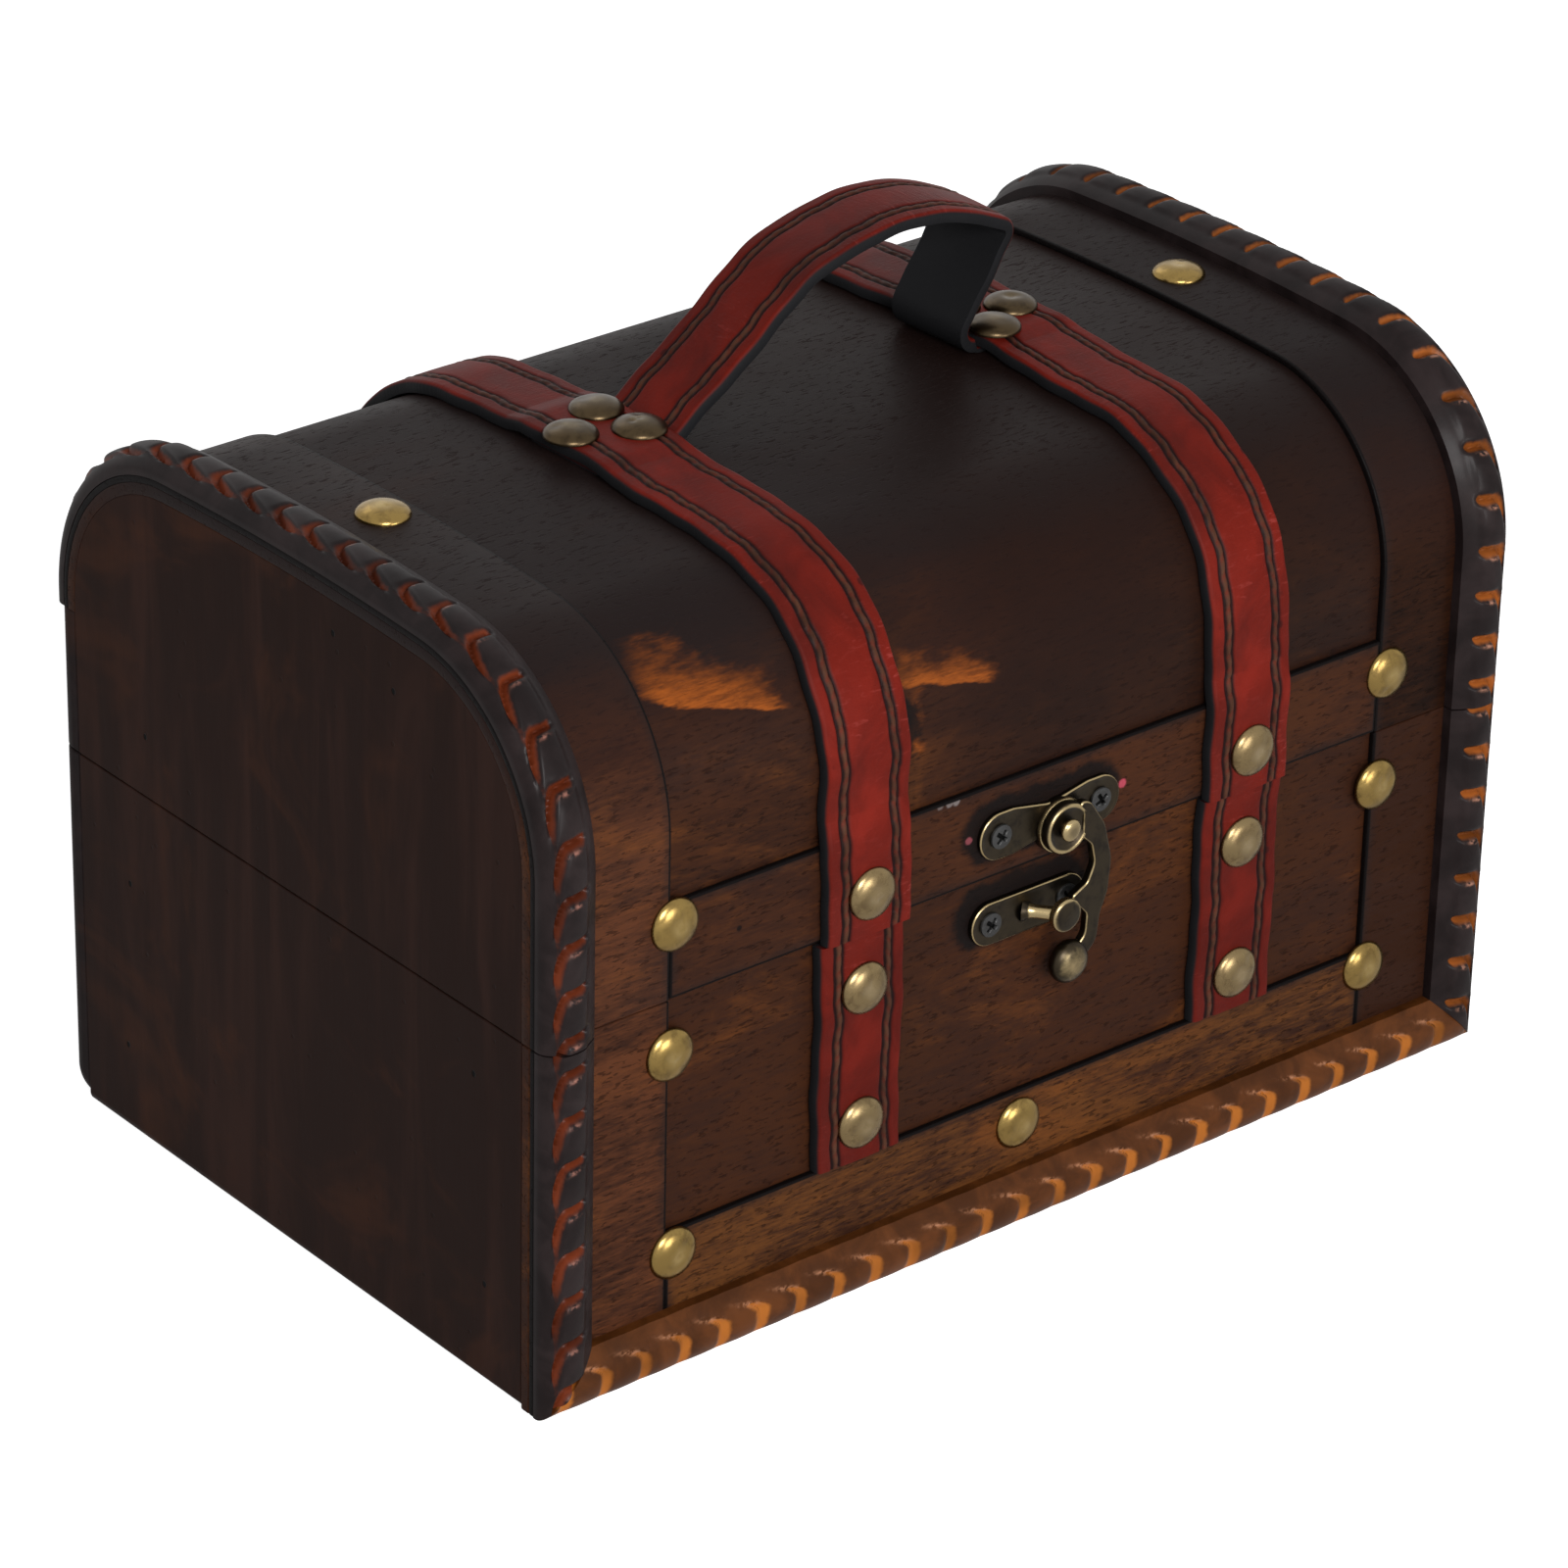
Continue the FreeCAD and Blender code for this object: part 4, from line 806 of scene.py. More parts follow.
def strap_shell(shells, sizes, route, half, place, seed, wear=None, skive=None):
    """A leather strap along a route.

    Its face is crowned by 0.25 mm, sinks by a bell in the two furrows beside each seam, and rises in
    beads along the seam.  place turns (across, out, distance) into points, and both edges wander by
    a sum of sines.  Columns run over the face, down a cut edge, under the back and up the other.
    skive gives the share of the thickness that is left at each distance, and wear how far the face
    is cracked at each place."""
    rows = int(route.length / (0.55 * MM))
    along = np.linspace(0, route.length, rows)[:, None]
    face = strap_columns(sizes, half)[None, :]
    share = face / half
    seam = half - sizes.seam_inset
    wander = 0.25 * MM * np.sin(along * 230 + seed) + 0.12 * MM * np.sin(along * 610 + 2 * seed)
    off = np.abs(face - wander * 0.8) - seam
    weave = 0.12 * MM * np.sin(along * 900 + seed * 3) * np.sign(face)
    furrow = sum(np.exp(-((off + weave - side * 0.80 * MM) / (0.36 * MM)) ** 2) for side in (-1, 1))
    beads = np.abs(np.sin(np.pi * (along + off * 0.8) / sizes.stitch)) ** 0.6
    band = 1 - smooth(np.abs(off), 0.55 * MM, 0.85 * MM)
    height = (LEATHER - 0.25 * MM * share ** 2 - 0.32 * MM * np.clip(furrow, 0, 1)
              + band * (beads * 0.28 - 0.16) * MM)
    round_off = 0.55 * MM * smooth(np.abs(share), 0.93, 1.0) ** 2
    height = (height - round_off) * (skive(along) if skive else 1)
    edge = np.linspace(0, 1, 6)[None, 1:]
    wide = np.broadcast_to(face, height.shape) + wander * np.abs(share) ** 4
    right, left = (wide[:, column][:, None] for column in (-1, 0))
    tall_right, tall_left = (height[:, column][:, None] for column in (-1, 0))
    bulge = 0.18 * MM * np.sin(np.pi * edge)
    across = np.concatenate([wide, right + bulge, left - bulge[:, ::-1][:, 1:]], 1)
    out = np.concatenate([height, tall_right * (1 - edge), tall_left * edge[:, :-1]], 1)
    zeros = np.zeros((rows, across.shape[1] - height.shape[1]))
    whole = np.broadcast_to(along, across.shape)
    worn = wear(whole, across) if wear else np.zeros(across.shape)
    cut = np.concatenate([smooth(np.abs(share) + 0 * height, 0.975, 1.0), zeros + 1], 1)
    shells.add(place(across, out, whole), along=whole, across=across, cut=cut, wear=worn,
               seam=np.concatenate([band * (0.35 + 0.65 * beads), zeros], 1),
               furrow=np.concatenate([np.clip(furrow, 0, 1), zeros], 1))


# Metal

def revolved(radii, heights, spokes=48):
    """A profile of (radius, height) rows turned about the axis, from the rim to the pole."""
    angle = np.linspace(0, 2 * np.pi, spokes, endpoint=False)
    radii = np.maximum(radii, 1e-6)[:, None]
    return np.stack([radii * np.cos(angle), radii * np.sin(angle),
                     np.broadcast_to(np.asarray(heights)[:, None], (len(radii), spokes))], -1)


def turned(points, centre, normal, spin=0.0):
    """Points of a head that faces +Z, spun about its axis, turned to face a normal, and put in place."""
    way = Vector(normal).to_track_quat("Z", "Y").to_matrix() @ Matrix.Rotation(spin, 3, "Z")
    return points @ np.array(way).T + np.array(centre)


def domed_nail(sizes, draws):
    """A hammered dome: height = dome * sqrt(1 - (r / R) ** 2.2), less a few round dents."""
    radius, dome = sizes.nail_radius, sizes.nail_dome
    share = np.sin(np.radians(np.linspace(90, 0, 20)))
    radii = np.concatenate([[0, radius * 0.9, radius], radius * share])
    heights = np.concatenate([[0, 0, 0.0], dome * np.sqrt(np.clip(1 - share ** 2.2, 0, 1)) + 0.12 * MM])
    grid = revolved(radii, heights)
    upper = np.arange(len(radii)) >= 3
    dented = np.zeros(grid.shape[:2])
    for _ in range(4):
        angle, reach, size, depth = draws.random(4)
        x, y = (reach * 0.7 * radius * part for part in (math.cos(angle * 6.3), math.sin(angle * 6.3)))
        away = np.hypot(grid[..., 0] - x, grid[..., 1] - y)
        dented += (0.05 + 0.22 * depth ** 2) * MM * np.exp(-(away / ((0.5 + 1.2 * size) * MM)) ** 2)
    grid[..., 2] -= np.where(upper[:, None], np.minimum(dented, grid[..., 2] * 0.5), 0)
    worn = np.where(upper, np.clip(1.15 - radii / radius, 0, 1), 0)[:, None] * 0.55
    return grid, worn


def cross_screw(sizes):
    """A flat domed head with a cross recess: two crossed slots sunk by a smooth step."""
    radius = sizes.screw_radius
    share = np.linspace(0.97, 0, 22)
    radii = np.concatenate([[0, radius, radius], share * radius])
    heights = np.concatenate([[0, 0, 0.3 * MM], 0.45 * MM + 0.15 * MM * np.cos(share * np.pi / 2)])
    grid = revolved(radii, heights, 64)
    x, y = np.abs(grid[..., 0]), np.abs(grid[..., 1])
    slots = [(1 - smooth(one, 0.24 * MM, 0.42 * MM)) * (1 - smooth(other, 1.15 * MM, 1.5 * MM))
             for one, other in ((x, y), (y, x))]
    sunk = np.maximum(*slots)
    sunk[:3] = 0
    grid[..., 2] -= 0.55 * MM * sunk
    worn = np.clip(radii / radius, 0, 1)[:, None] ** 8 * 0.6
    return grid, worn, sunk


def plate_rings(outline, back, front, edge, dish=0.0, inner=0.7 * MM):
    """A plate that faces the front: rings of its outline, rounded inwards at the front edge.

    A ring at angle a stands edge * (1 - cos a) inside the outline, edge * (1 - sin a) behind the
    front face."""
    following = np.roll(outline, -1, 0) - np.roll(outline, 1, 0)
    normal = np.stack([following[:, 1], -following[:, 0]], 1)
    normal /= np.linalg.norm(normal, axis=1)[:, None]
    rings, worn = [], []
    steps = [(0.0, back, 0.0)]
    for angle in np.radians(np.linspace(0, 90, 6)):
        steps.append((edge * (1 - math.cos(angle)), front + edge * (1 - math.sin(angle)),
                      0.15 + 0.75 * math.sin(2 * angle) ** 2))
    steps.append((edge + inner * 0.35, front + dish * 0.6, 0.1))
    steps.append((edge + inner, front + dish, 0.0))
    for inset, depth, bright in steps:
        ring = outline - normal * inset
        rings.append(np.stack([ring[:, 0], np.full(len(ring), depth), ring[:, 1]], 1))
        worn.append(np.full(len(ring), bright))
    return np.array(rings), np.array(worn)


def closed_outline(corners):
    """Evenly spaced points round a closed run of rounded corners."""
    spacing = 0.25 * MM
    first = tuple((np.array(corners[-1][:2]) + np.array(corners[0][:2])) / 2)
    route = Route([(*first, 0)] + list(corners) + [(*first, 0)], spacing)
    count = int(route.length / spacing)
    return route.at(np.linspace(0, route.length, count, endpoint=False))[0]


# Operators

class ChestOperator:
    """What the operators share: the sizes and the colours of the scene."""

    bl_options = {"REGISTER", "UNDO"}

    @property
    def sizes(self):
        return bpy.context.scene.chest_sizes

    @property
    def colours(self):
        return bpy.context.scene.chest_colours


class CHEST_OT_stage(ChestOperator, bpy.types.Operator):
    """Camera, soft lamps and a white floor"""

    bl_idname = "chest.stage"
    bl_label = "Stage"

    def execute(self, context):
        azimuth, elevation, roll = (math.radians(angle) for angle in CAMERA_ANGLES)
        behind = Vector((math.sin(azimuth) * math.cos(elevation),
                         -math.cos(azimuth) * math.cos(elevation), math.sin(elevation)))
        right = Vector((math.cos(azimuth), math.sin(azimuth), 0))
        above = behind.cross(right)
        turned_right = right * math.cos(roll) + above * math.sin(roll)
        turned_above = above * math.cos(roll) - right * math.sin(roll)
        lens = bpy.data.cameras.new("camera")
        lens.lens, lens.sensor_width = FOCAL_LENGTH, SENSOR_WIDTH
        lens.clip_start = 0.05
        camera = bpy.data.objects.new("camera", lens)
        camera.matrix_world = Matrix.Translation(CAMERA_PLACE) @ Matrix(
            (turned_right, turned_above, behind)).transposed().to_4x4()
        context.scene.collection.objects.link(camera)
        context.scene.camera = camera
        for name, place, aim, side, power in LAMPS:
            lamp = bpy.data.lights.new(name, "AREA")
            lamp.size, lamp.energy = side, power
            thing = bpy.data.objects.new(name, lamp)
            thing.matrix_world = Matrix.Translation(place) @ (
                Vector(place) - Vector(aim)).to_track_quat("Z", "Y").to_matrix().to_4x4()
            context.scene.collection.objects.link(thing)
        self.light_world(context.scene)
        self.lay_floor(context.scene)
        context.scene.view_settings.view_transform = "Standard"
        return {"FINISHED"}

    def light_world(self, scene):
        """White where the camera sees it, also in metal, and a soft light on the chest."""
        world = bpy.data.worlds.new("studio")
        world.use_nodes = True
        nodes, links = world.node_tree.nodes, world.node_tree.links
        path, mix = nodes.new("ShaderNodeLightPath"), nodes.new("ShaderNodeMix")
        either, any_of = nodes.new("ShaderNodeMath"), nodes.new("ShaderNodeMath")
        either.operation = any_of.operation = "MAXIMUM"
        links.new(path.outputs["Is Camera Ray"], either.inputs[0])
        links.new(path.outputs["Is Glossy Ray"], either.inputs[1])
        links.new(either.outputs[0], any_of.inputs[0])
        links.new(path.outputs["Is Transmission Ray"], any_of.inputs[1])
        links.new(any_of.outputs[0], mix.inputs[0])
        mix.inputs[2].default_value, mix.inputs[3].default_value = WORLD_LIGHT, 1.0
        background = nodes["Background"]
        background.inputs[0].default_value = (1, 1, 1, 1)
        links.new(mix.outputs[0], background.inputs[1])
        scene.world = world

    def lay_floor(self, scene):
        """A large white disc that glows white to the camera and still takes the chest's shadow."""
        mesh = bpy.data.meshes.new("floor")
        angle = np.linspace(0, 2 * np.pi, 96, endpoint=False)
        rim = np.stack([FLOOR_RADIUS * np.cos(angle), FLOOR_RADIUS * np.sin(angle), 0 * angle], 1)
        mesh.from_pydata(rim.tolist(), [], [list(range(96))])
        floor = bpy.data.objects.new("floor", mesh)
        scene.collection.objects.link(floor)
        finish = Finish("floor white", Base_Color=(*self.colours.floor, 1.0), Roughness=0.9,
                        Specular_IOR_Level=0.0, Emission_Strength=1.0)
        seen, mirrored, passed = (finish.add("ShaderNodeLightPath", {}, {}, "Is %s Ray" % kind)
                                  for kind in ("Camera", "Glossy", "Transmission"))
        faint = finish.mix(mirrored.most(passed), (0.0, 0.0, 0.0), (0.2, 0.2, 0.2))
        finish.set(Emission_Color=finish.mix(seen, faint, (0.8, 0.8, 0.8)))
        mesh.materials.append(finish.material)


class CHEST_OT_boards(ChestOperator, bpy.types.Operator):
    """Stain the flat boards and round their edges"""

    bl_idname = "chest.boards"
    bl_label = "Boards"

    def execute(self, context):
        colours, edge = self.colours, self.sizes.edge_round
        # Black wax and painted shadow round the latch and catch plates, shifted up and to the left
        halos = ((LATCH_MIDDLE[0] - 1.3 * MM, LATCH_MIDDLE[1] + 1.1 * MM, LATCH_SPACING / 2, 6.6 * MM),)
        catch_halos = ((CATCH_MIDDLE[0] - 1.2 * MM, CATCH_MIDDLE[1] + 1.6 * MM, CATCH_SPACING / 2,
                        6.8 * MM),)
        for node, stain, edges, spots, glow in (
                ("base_front_panel", faded(colours.wood, 0.55), (), catch_halos, 0.5),
                ("base_rail", colours.rail_wood, (0, 2), (), 0.7),
                ("base_stile_left", faded(colours.wood, 1.15), (0,), (), 0.4),
                ("base_stile_right", faded(colours.wood, 0.34), (0,), (), 0.1),
                ("lid_rail", faded(colours.wood, 0.70), (0, 2), halos, 0.35)):
            low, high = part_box(node)
            look = stained_wood(node + " wood", low, high, edges, stain, colours.wood_dark,
                                colours.wood_amber, halos=spots, glow=glow,
                                flecks=FLECKS if node == "lid_rail" else ())
            dress_board(node, look, edge)
        for node in ("base_front_board", "base_floor", "lid_front_board", "lid_top_batten"):
            low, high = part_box(node)
            look = stained_wood(node + " wood", low, high, (), colours.wood_dark, colours.black_wood,
                                colours.wood, glow=0.3)
            dress_board(node, look, edge * 0.6)
        pins = tuple((y * MM, z * MM) for y, z in END_PINS)
        ends = black_wood("end wood", END_STAIN, colours.wood, (1500, 900, 120), pins)
        backs = black_wood("back wood", colours.black_wood, colours.wood, (110, 900, 900))
        for node in ("base_end_left", "base_end_right", "lid_end_left", "lid_end_right"):
            dress_board(node, ends, edge * 0.6)
        for node in ("base_back_board", "lid_back_board"):
            dress_board(node, backs, edge)
        return {"FINISHED"}


class CHEST_OT_arched_wood(ChestOperator, bpy.types.Operator):
    """The bent skin of the lid and the two bent stiles over it"""

    bl_idname = "chest.arched_wood"
    bl_label = "Arched wood"

    def execute(self, context):
        colours, edge = self.colours, self.sizes.edge_round
        low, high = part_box("lid_skin")
        look = stained_wood("lid skin wood", low, high, (), faded(colours.wood, 0.56),
                            faded(colours.wood_dark, 0.75), colours.wood_amber, glow=0.45,
                            halos=SKIN_STAINS, patches=RUBBED_PATCHES, shine=0.05, dusk=0.6)
        arched_strip("lid_skin_bent", ["lid_skin"], -HALF_LENGTH, HALF_LENGTH, -PLY, 0.0, edge * 0.5,
                     look)
        for word in SIDES:
            node = "lid_stile_" + word
            low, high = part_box(node)
            share = 1.15 if word == "left" else 0.29
            look = stained_wood(node + " wood", low, high, (0,), faded(colours.wood, share),
                                faded(colours.wood_dark, share), colours.wood_amber, glow=0.45 * share,
                                shine=0.05)
            arched_strip(node + "_bent", [node], low.x, high.x, 0.0, OVERLAY, edge, look)
        return {"FINISHED"}


class CHEST_OT_mouldings(ChestOperator, bpy.types.Operator):
    """The carved half round mouldings of the corners, the foot and the arch"""

    bl_idname = "chest.mouldings"
    bl_label = "Mouldings"

    def execute(self, context):
        sizes, colours = self.sizes, self.colours
        blacks = {"left": carved_wood("carved black wood", colours.black_wood, colours.rust,
                                      LIP_HIGHLIGHTS["left"], 0.35),
                  "right": carved_wood("carved rubbed wood", colours.black_wood, RUBBED_RUST,
                                       LIP_HIGHLIGHTS["right"], 0.35)}
        brown = carved_wood("carved brown wood", CROWN_BROWN, colours.ochre, LIP_HIGHLIGHTS["foot"], 0.85)
        for word, side in SIDES.items():
            self.corner(sizes, word, side, blacks[word])
            self.arch(sizes, word, side, blacks[word])
        self.foot(sizes, brown)
        return {"FINISHED"}

    def corner(self, sizes, word, side, look):
        """The moulding up a front corner, mitred at the foot."""
        def upright(wide, out, along):
            return np.stack([side * (HALF_LENGTH - wide), -FRAME_FACE - out, along], -1)
        shells = Shells()
        moulding_shell(shells, sizes, {"rows": 300, "low": lambda across: across,
                                       "high": lambda across: 0 * across + SEAM},
                       upright, hooked_lobes, CORNER_START[word])
        shells.make("base_moulding_%s_carved" % word, ["base_moulding_" + word], "base",
                    look)

    def foot(self, sizes, look):
        """The moulding along the foot, mitred at both ends."""
        def level(wide, out, along):
            return np.stack([along, -FRAME_FACE - out, wide], -1)
        shells = Shells()
        moulding_shell(shells, sizes, {"rows": 900, "low": lambda across: across - HALF_LENGTH,
                                       "high": lambda across: HALF_LENGTH - across},
                       level, upright_lobes, FOOT_START)
        shells.make("base_moulding_bottom_carved", ["base_moulding_bottom"], "base",
                    look)

    def arch(self, sizes, word, side, look):
        """The moulding along the arch: the same section carried along the stile's outer face."""
        route = Route(arch_corners(OVERLAY))

        def bent(wide, out, along):
            lifted = route.raised(along, out)
            return np.stack([side * (HALF_LENGTH - wide), lifted[..., 0], lifted[..., 1]], -1)
        shells = Shells()
        moulding_shell(shells, sizes, {"rows": int(route.length / (0.26 * MM)),
                                       "low": lambda across: 0 * across,
                                       "high": lambda across: 0 * across + route.length},
                       bent, hooked_lobes, ARCH_START[word])
        shells.make("lid_moulding_%s_carved" % word, ["lid_moulding_" + word], "lid",
                    look)


class CHEST_OT_straps(ChestOperator, bpy.types.Operator):
    """The stitched leather straps over the lid and down the base"""

    bl_idname = "chest.straps"
    bl_label = "Straps"

    def execute(self, context):
        look = leather_look("red leather", self.colours, 1.0)
        shaded = leather_look("shaded leather", self.colours, 0.72)
        for number, (word, middle) in enumerate(STRAP_MIDDLES.items()):
            self.lid_strap(word, middle, number * 2.1 + 0.4, look)
            self.base_strap(word, middle, number * 1.7 + 1.2, shaded)
        return {"FINISHED"}

    def lid_strap(self, word, middle, seed, look):
        """Over the rail, up the skin, raised over the handle's tail, and down the back."""
        skin = arch_corners(0.0)
        bend, tail_top = LEATHER + 1 * MM, SKIN_TOP + TAIL
        lean = (skin[2][1] - skin[1][1]) / PANEL_FACE
        front, back = HANDLE_FRONT - 6 * MM, HANDLE_BACK + 6 * MM
        route = Route([(-FRAME_FACE, LID_FOOT, 0), (-FRAME_FACE, RAIL_TOP, bend),
                       (-PANEL_FACE, RAIL_TOP + 5 * MM, bend), skin[1],
                       (front, skin[2][1] + lean * front, bend),
                       (HANDLE_FRONT - 1.5 * MM, tail_top, bend),
                       (HANDLE_BACK + 1.5 * MM, tail_top, bend),
                       (back, skin[2][1] - lean * back, bend), skin[3], skin[4]])

        def over(across, out, along):
            lifted = route.raised(along, out)
            return np.stack([middle + across, lifted[..., 0], lifted[..., 1]], -1)

        def wear(along, across):
            foot = np.exp(-(along / (9 * MM)) ** 2) * smooth(across, 0, STRAP_HALF * 0.6)
            bent = np.exp(-((along - 46 * MM) / (13 * MM)) ** 2) * smooth(across, -2 * MM, STRAP_HALF)
            return foot + bent * 0.45 + 0.06
        shells = Shells()
        strap_shell(shells, self.sizes, route, STRAP_HALF, over, seed, wear)
        shells.make("lid_strap_%s_leather" % word, ["lid_strap_" + word], "lid", look)

    def base_strap(self, word, middle, seed, look):
        """A short length on the front panel."""
        low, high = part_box("base_strap_" + word)
        route = Route([(0, low.z, 0), (0, (low.z + high.z) / 2, 0), (0, high.z, 0)])

        def upright(across, out, along):
            return np.stack([middle + across, -PANEL_FACE - out, low.z + along], -1)
        shells = Shells()
        strap_shell(shells, self.sizes, route, STRAP_HALF, upright, seed)
        shells.make("base_strap_%s_leather" % word, ["base_strap_" + word], "base", look)


class CHEST_OT_handle(ChestOperator, bpy.types.Operator):
    """The leather handle, folded under at its right end"""

    bl_idname = "chest.handle"
    bl_label = "Handle"

    def execute(self, context):
        look = leather_look("handle leather", self.colours, 0.85)
        route = Route([tuple(part * MM for part in corner) for corner in HANDLE_ROUTE])
        middle, half = (HANDLE_FRONT + HANDLE_BACK) / 2, (HANDLE_BACK - HANDLE_FRONT) / 2

        def across_lid(across, out, along):
            lifted = route.raised(along, out - LEATHER / 2)
            return np.stack([lifted[..., 0], middle + across, lifted[..., 1]], -1)

        def wear(along, across):
            return 0.25 * np.exp(-((along - 85 * MM) / (14 * MM)) ** 2) + 0 * across

        def skive(along):
            """Thin where the tails lie under the straps."""
            shoulder = STRAP_HALF + 0.15 * MM
            left = STRAP_MIDDLES["left"] + shoulder - HANDLE_ROUTE[0][0] * MM
            right = HANDLE_ROUTE[-1][0] * MM - STRAP_MIDDLES["right"] + shoulder
            free = (along > left) & (along < route.length - right)
            return np.where(free, 1.0, (TAIL - 0.1 * MM) / LEATHER)
        shells = Shells()
        strap_shell(shells, self.sizes, route, half, across_lid, 2.6, wear, skive)
        shells.make("handle_leather", ["handle"], "lid", look)
        return {"FINISHED"}


class CHEST_OT_nails(ChestOperator, bpy.types.Operator):
    """The domed nails of the framing, the straps and the handle"""

    bl_idname = "chest.nails"
    bl_label = "Nails"

    def execute(self, context):
        colours = self.colours
        bright = metal_look("nail brass", colours.brass, BRASS_WORN, BRASS_TARNISH, 0.17, 0.6)
        mellow = metal_look("nail old brass", OLD_BRASS, OLD_BRASS_WORN, OLD_BRASS_TARNISH, 0.19, 0.6)
        dull = metal_look("nail bronze", NAIL_BRONZE, NAIL_BRONZE_WORN, NAIL_BRONZE_TARNISH, 0.24, 0.6)
        middles = list(STRAP_MIDDLES.values())
        self.hammer("base_wood_nails", "base", "brass", bright,
                    [((x * MM, -FRAME_FACE, z * MM), TO_FRONT) for x, z in BASE_WOOD_NAILS])
        self.hammer("base_strap_nails", "base", "brass", mellow,
                    [((x, -PANEL_FACE - LEATHER, z * MM), TO_FRONT)
                     for x in middles for z in BASE_STRAP_NAILS])
        self.hammer("lid_wood_nails", "lid", "brass", bright,
                    [((x * MM, -FRAME_FACE, z * MM), TO_FRONT) for x, z in LID_WOOD_NAILS]
                    + [((x * MM, y * MM, SKIN_TOP + OVERLAY), UP) for x, y in TOP_WOOD_NAILS])
        self.hammer("lid_strap_nails", "lid", "brass", mellow,
                    [((x, -FRAME_FACE - LEATHER, LID_STRAP_NAIL * MM), TO_FRONT) for x in middles]
                    + [((x, PANEL_FACE + LEATHER, BACK_STRAP_NAIL * MM), TO_BACK) for x in middles])
        self.hammer("handle_nails", "lid", "aged_brass", dull,
                    [((middle + x * MM, y * MM, SKIN_TOP + TAIL + LEATHER), UP)
                     for word, middle in STRAP_MIDDLES.items() for x, y in HANDLE_NAILS[word]])
        return {"FINISHED"}

    def hammer(self, node, body, slot, look, places):
        draws = np.random.default_rng(self.sizes.seed + len(node))
        shells = Shells()
        for centre, normal in places:
            grid, worn = domed_nail(self.sizes, draws)
            shells.add(turned(grid - np.array([0, 0, 0.12 * MM]), centre, normal,
                              draws.random() * 6.3), worn=worn)
        shells.make(node + "_domed", [node], body, look, math.radians(60))


class CHEST_OT_screws(ChestOperator, bpy.types.Operator):
    """The cross head screws of the latch and the hinges"""

    bl_idname = "chest.screws"
    bl_label = "Screws"

    def execute(self, context):
        steel = self.colours.steel
        look = metal_look("screw steel", steel, faded(steel, 1.9), STEEL_TARNISH, 0.38, 0.6)
        latch_face, catch_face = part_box("latch_screws")[0].y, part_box("catch_screws")[0].y
        rise = 0.6 * MM
        self.drive("latch_screws", "lid", look, [
            ((LATCH_MIDDLE[0] + side * LATCH_SPACING / 2, latch_face + rise, LATCH_MIDDLE[1]), TO_FRONT)
            for side in (-1, 1)])
        self.drive("catch_screws", "base", look, [
            ((CATCH_MIDDLE[0] + side * CATCH_SPACING / 2, catch_face + rise, CATCH_MIDDLE[1]), TO_FRONT)
            for side in (-1, 1)])
        for node, body in (("hinge_screws_lower", "base"), ("hinge_screws_upper", "lid")):
            low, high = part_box(node)
            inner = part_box("hinge_leaf_lower_right")
            middle = (inner[0].x + inner[1].x) / 2
            spread = (inner[1].x - inner[0].x) * 0.28
            self.drive(node, body, look, [
                ((side * middle + reach * spread, high.y - rise, (low.z + high.z) / 2), TO_BACK)
                for side in (-1, 1) for reach in (-1, 1)])
        return {"FINISHED"}

    def drive(self, node, body, look, places):
        draws = np.random.default_rng(self.sizes.seed + 3 * len(node))
        shells = Shells()
        for centre, normal in places:
            grid, worn, sunk = cross_screw(self.sizes)
            shells.add(turned(grid, centre, normal, 0.5 + draws.random() * 0.6),
                       worn=worn * (1 - sunk), sunk=sunk)
        shells.make(node + "_cross", [node], body, look, math.radians(50))


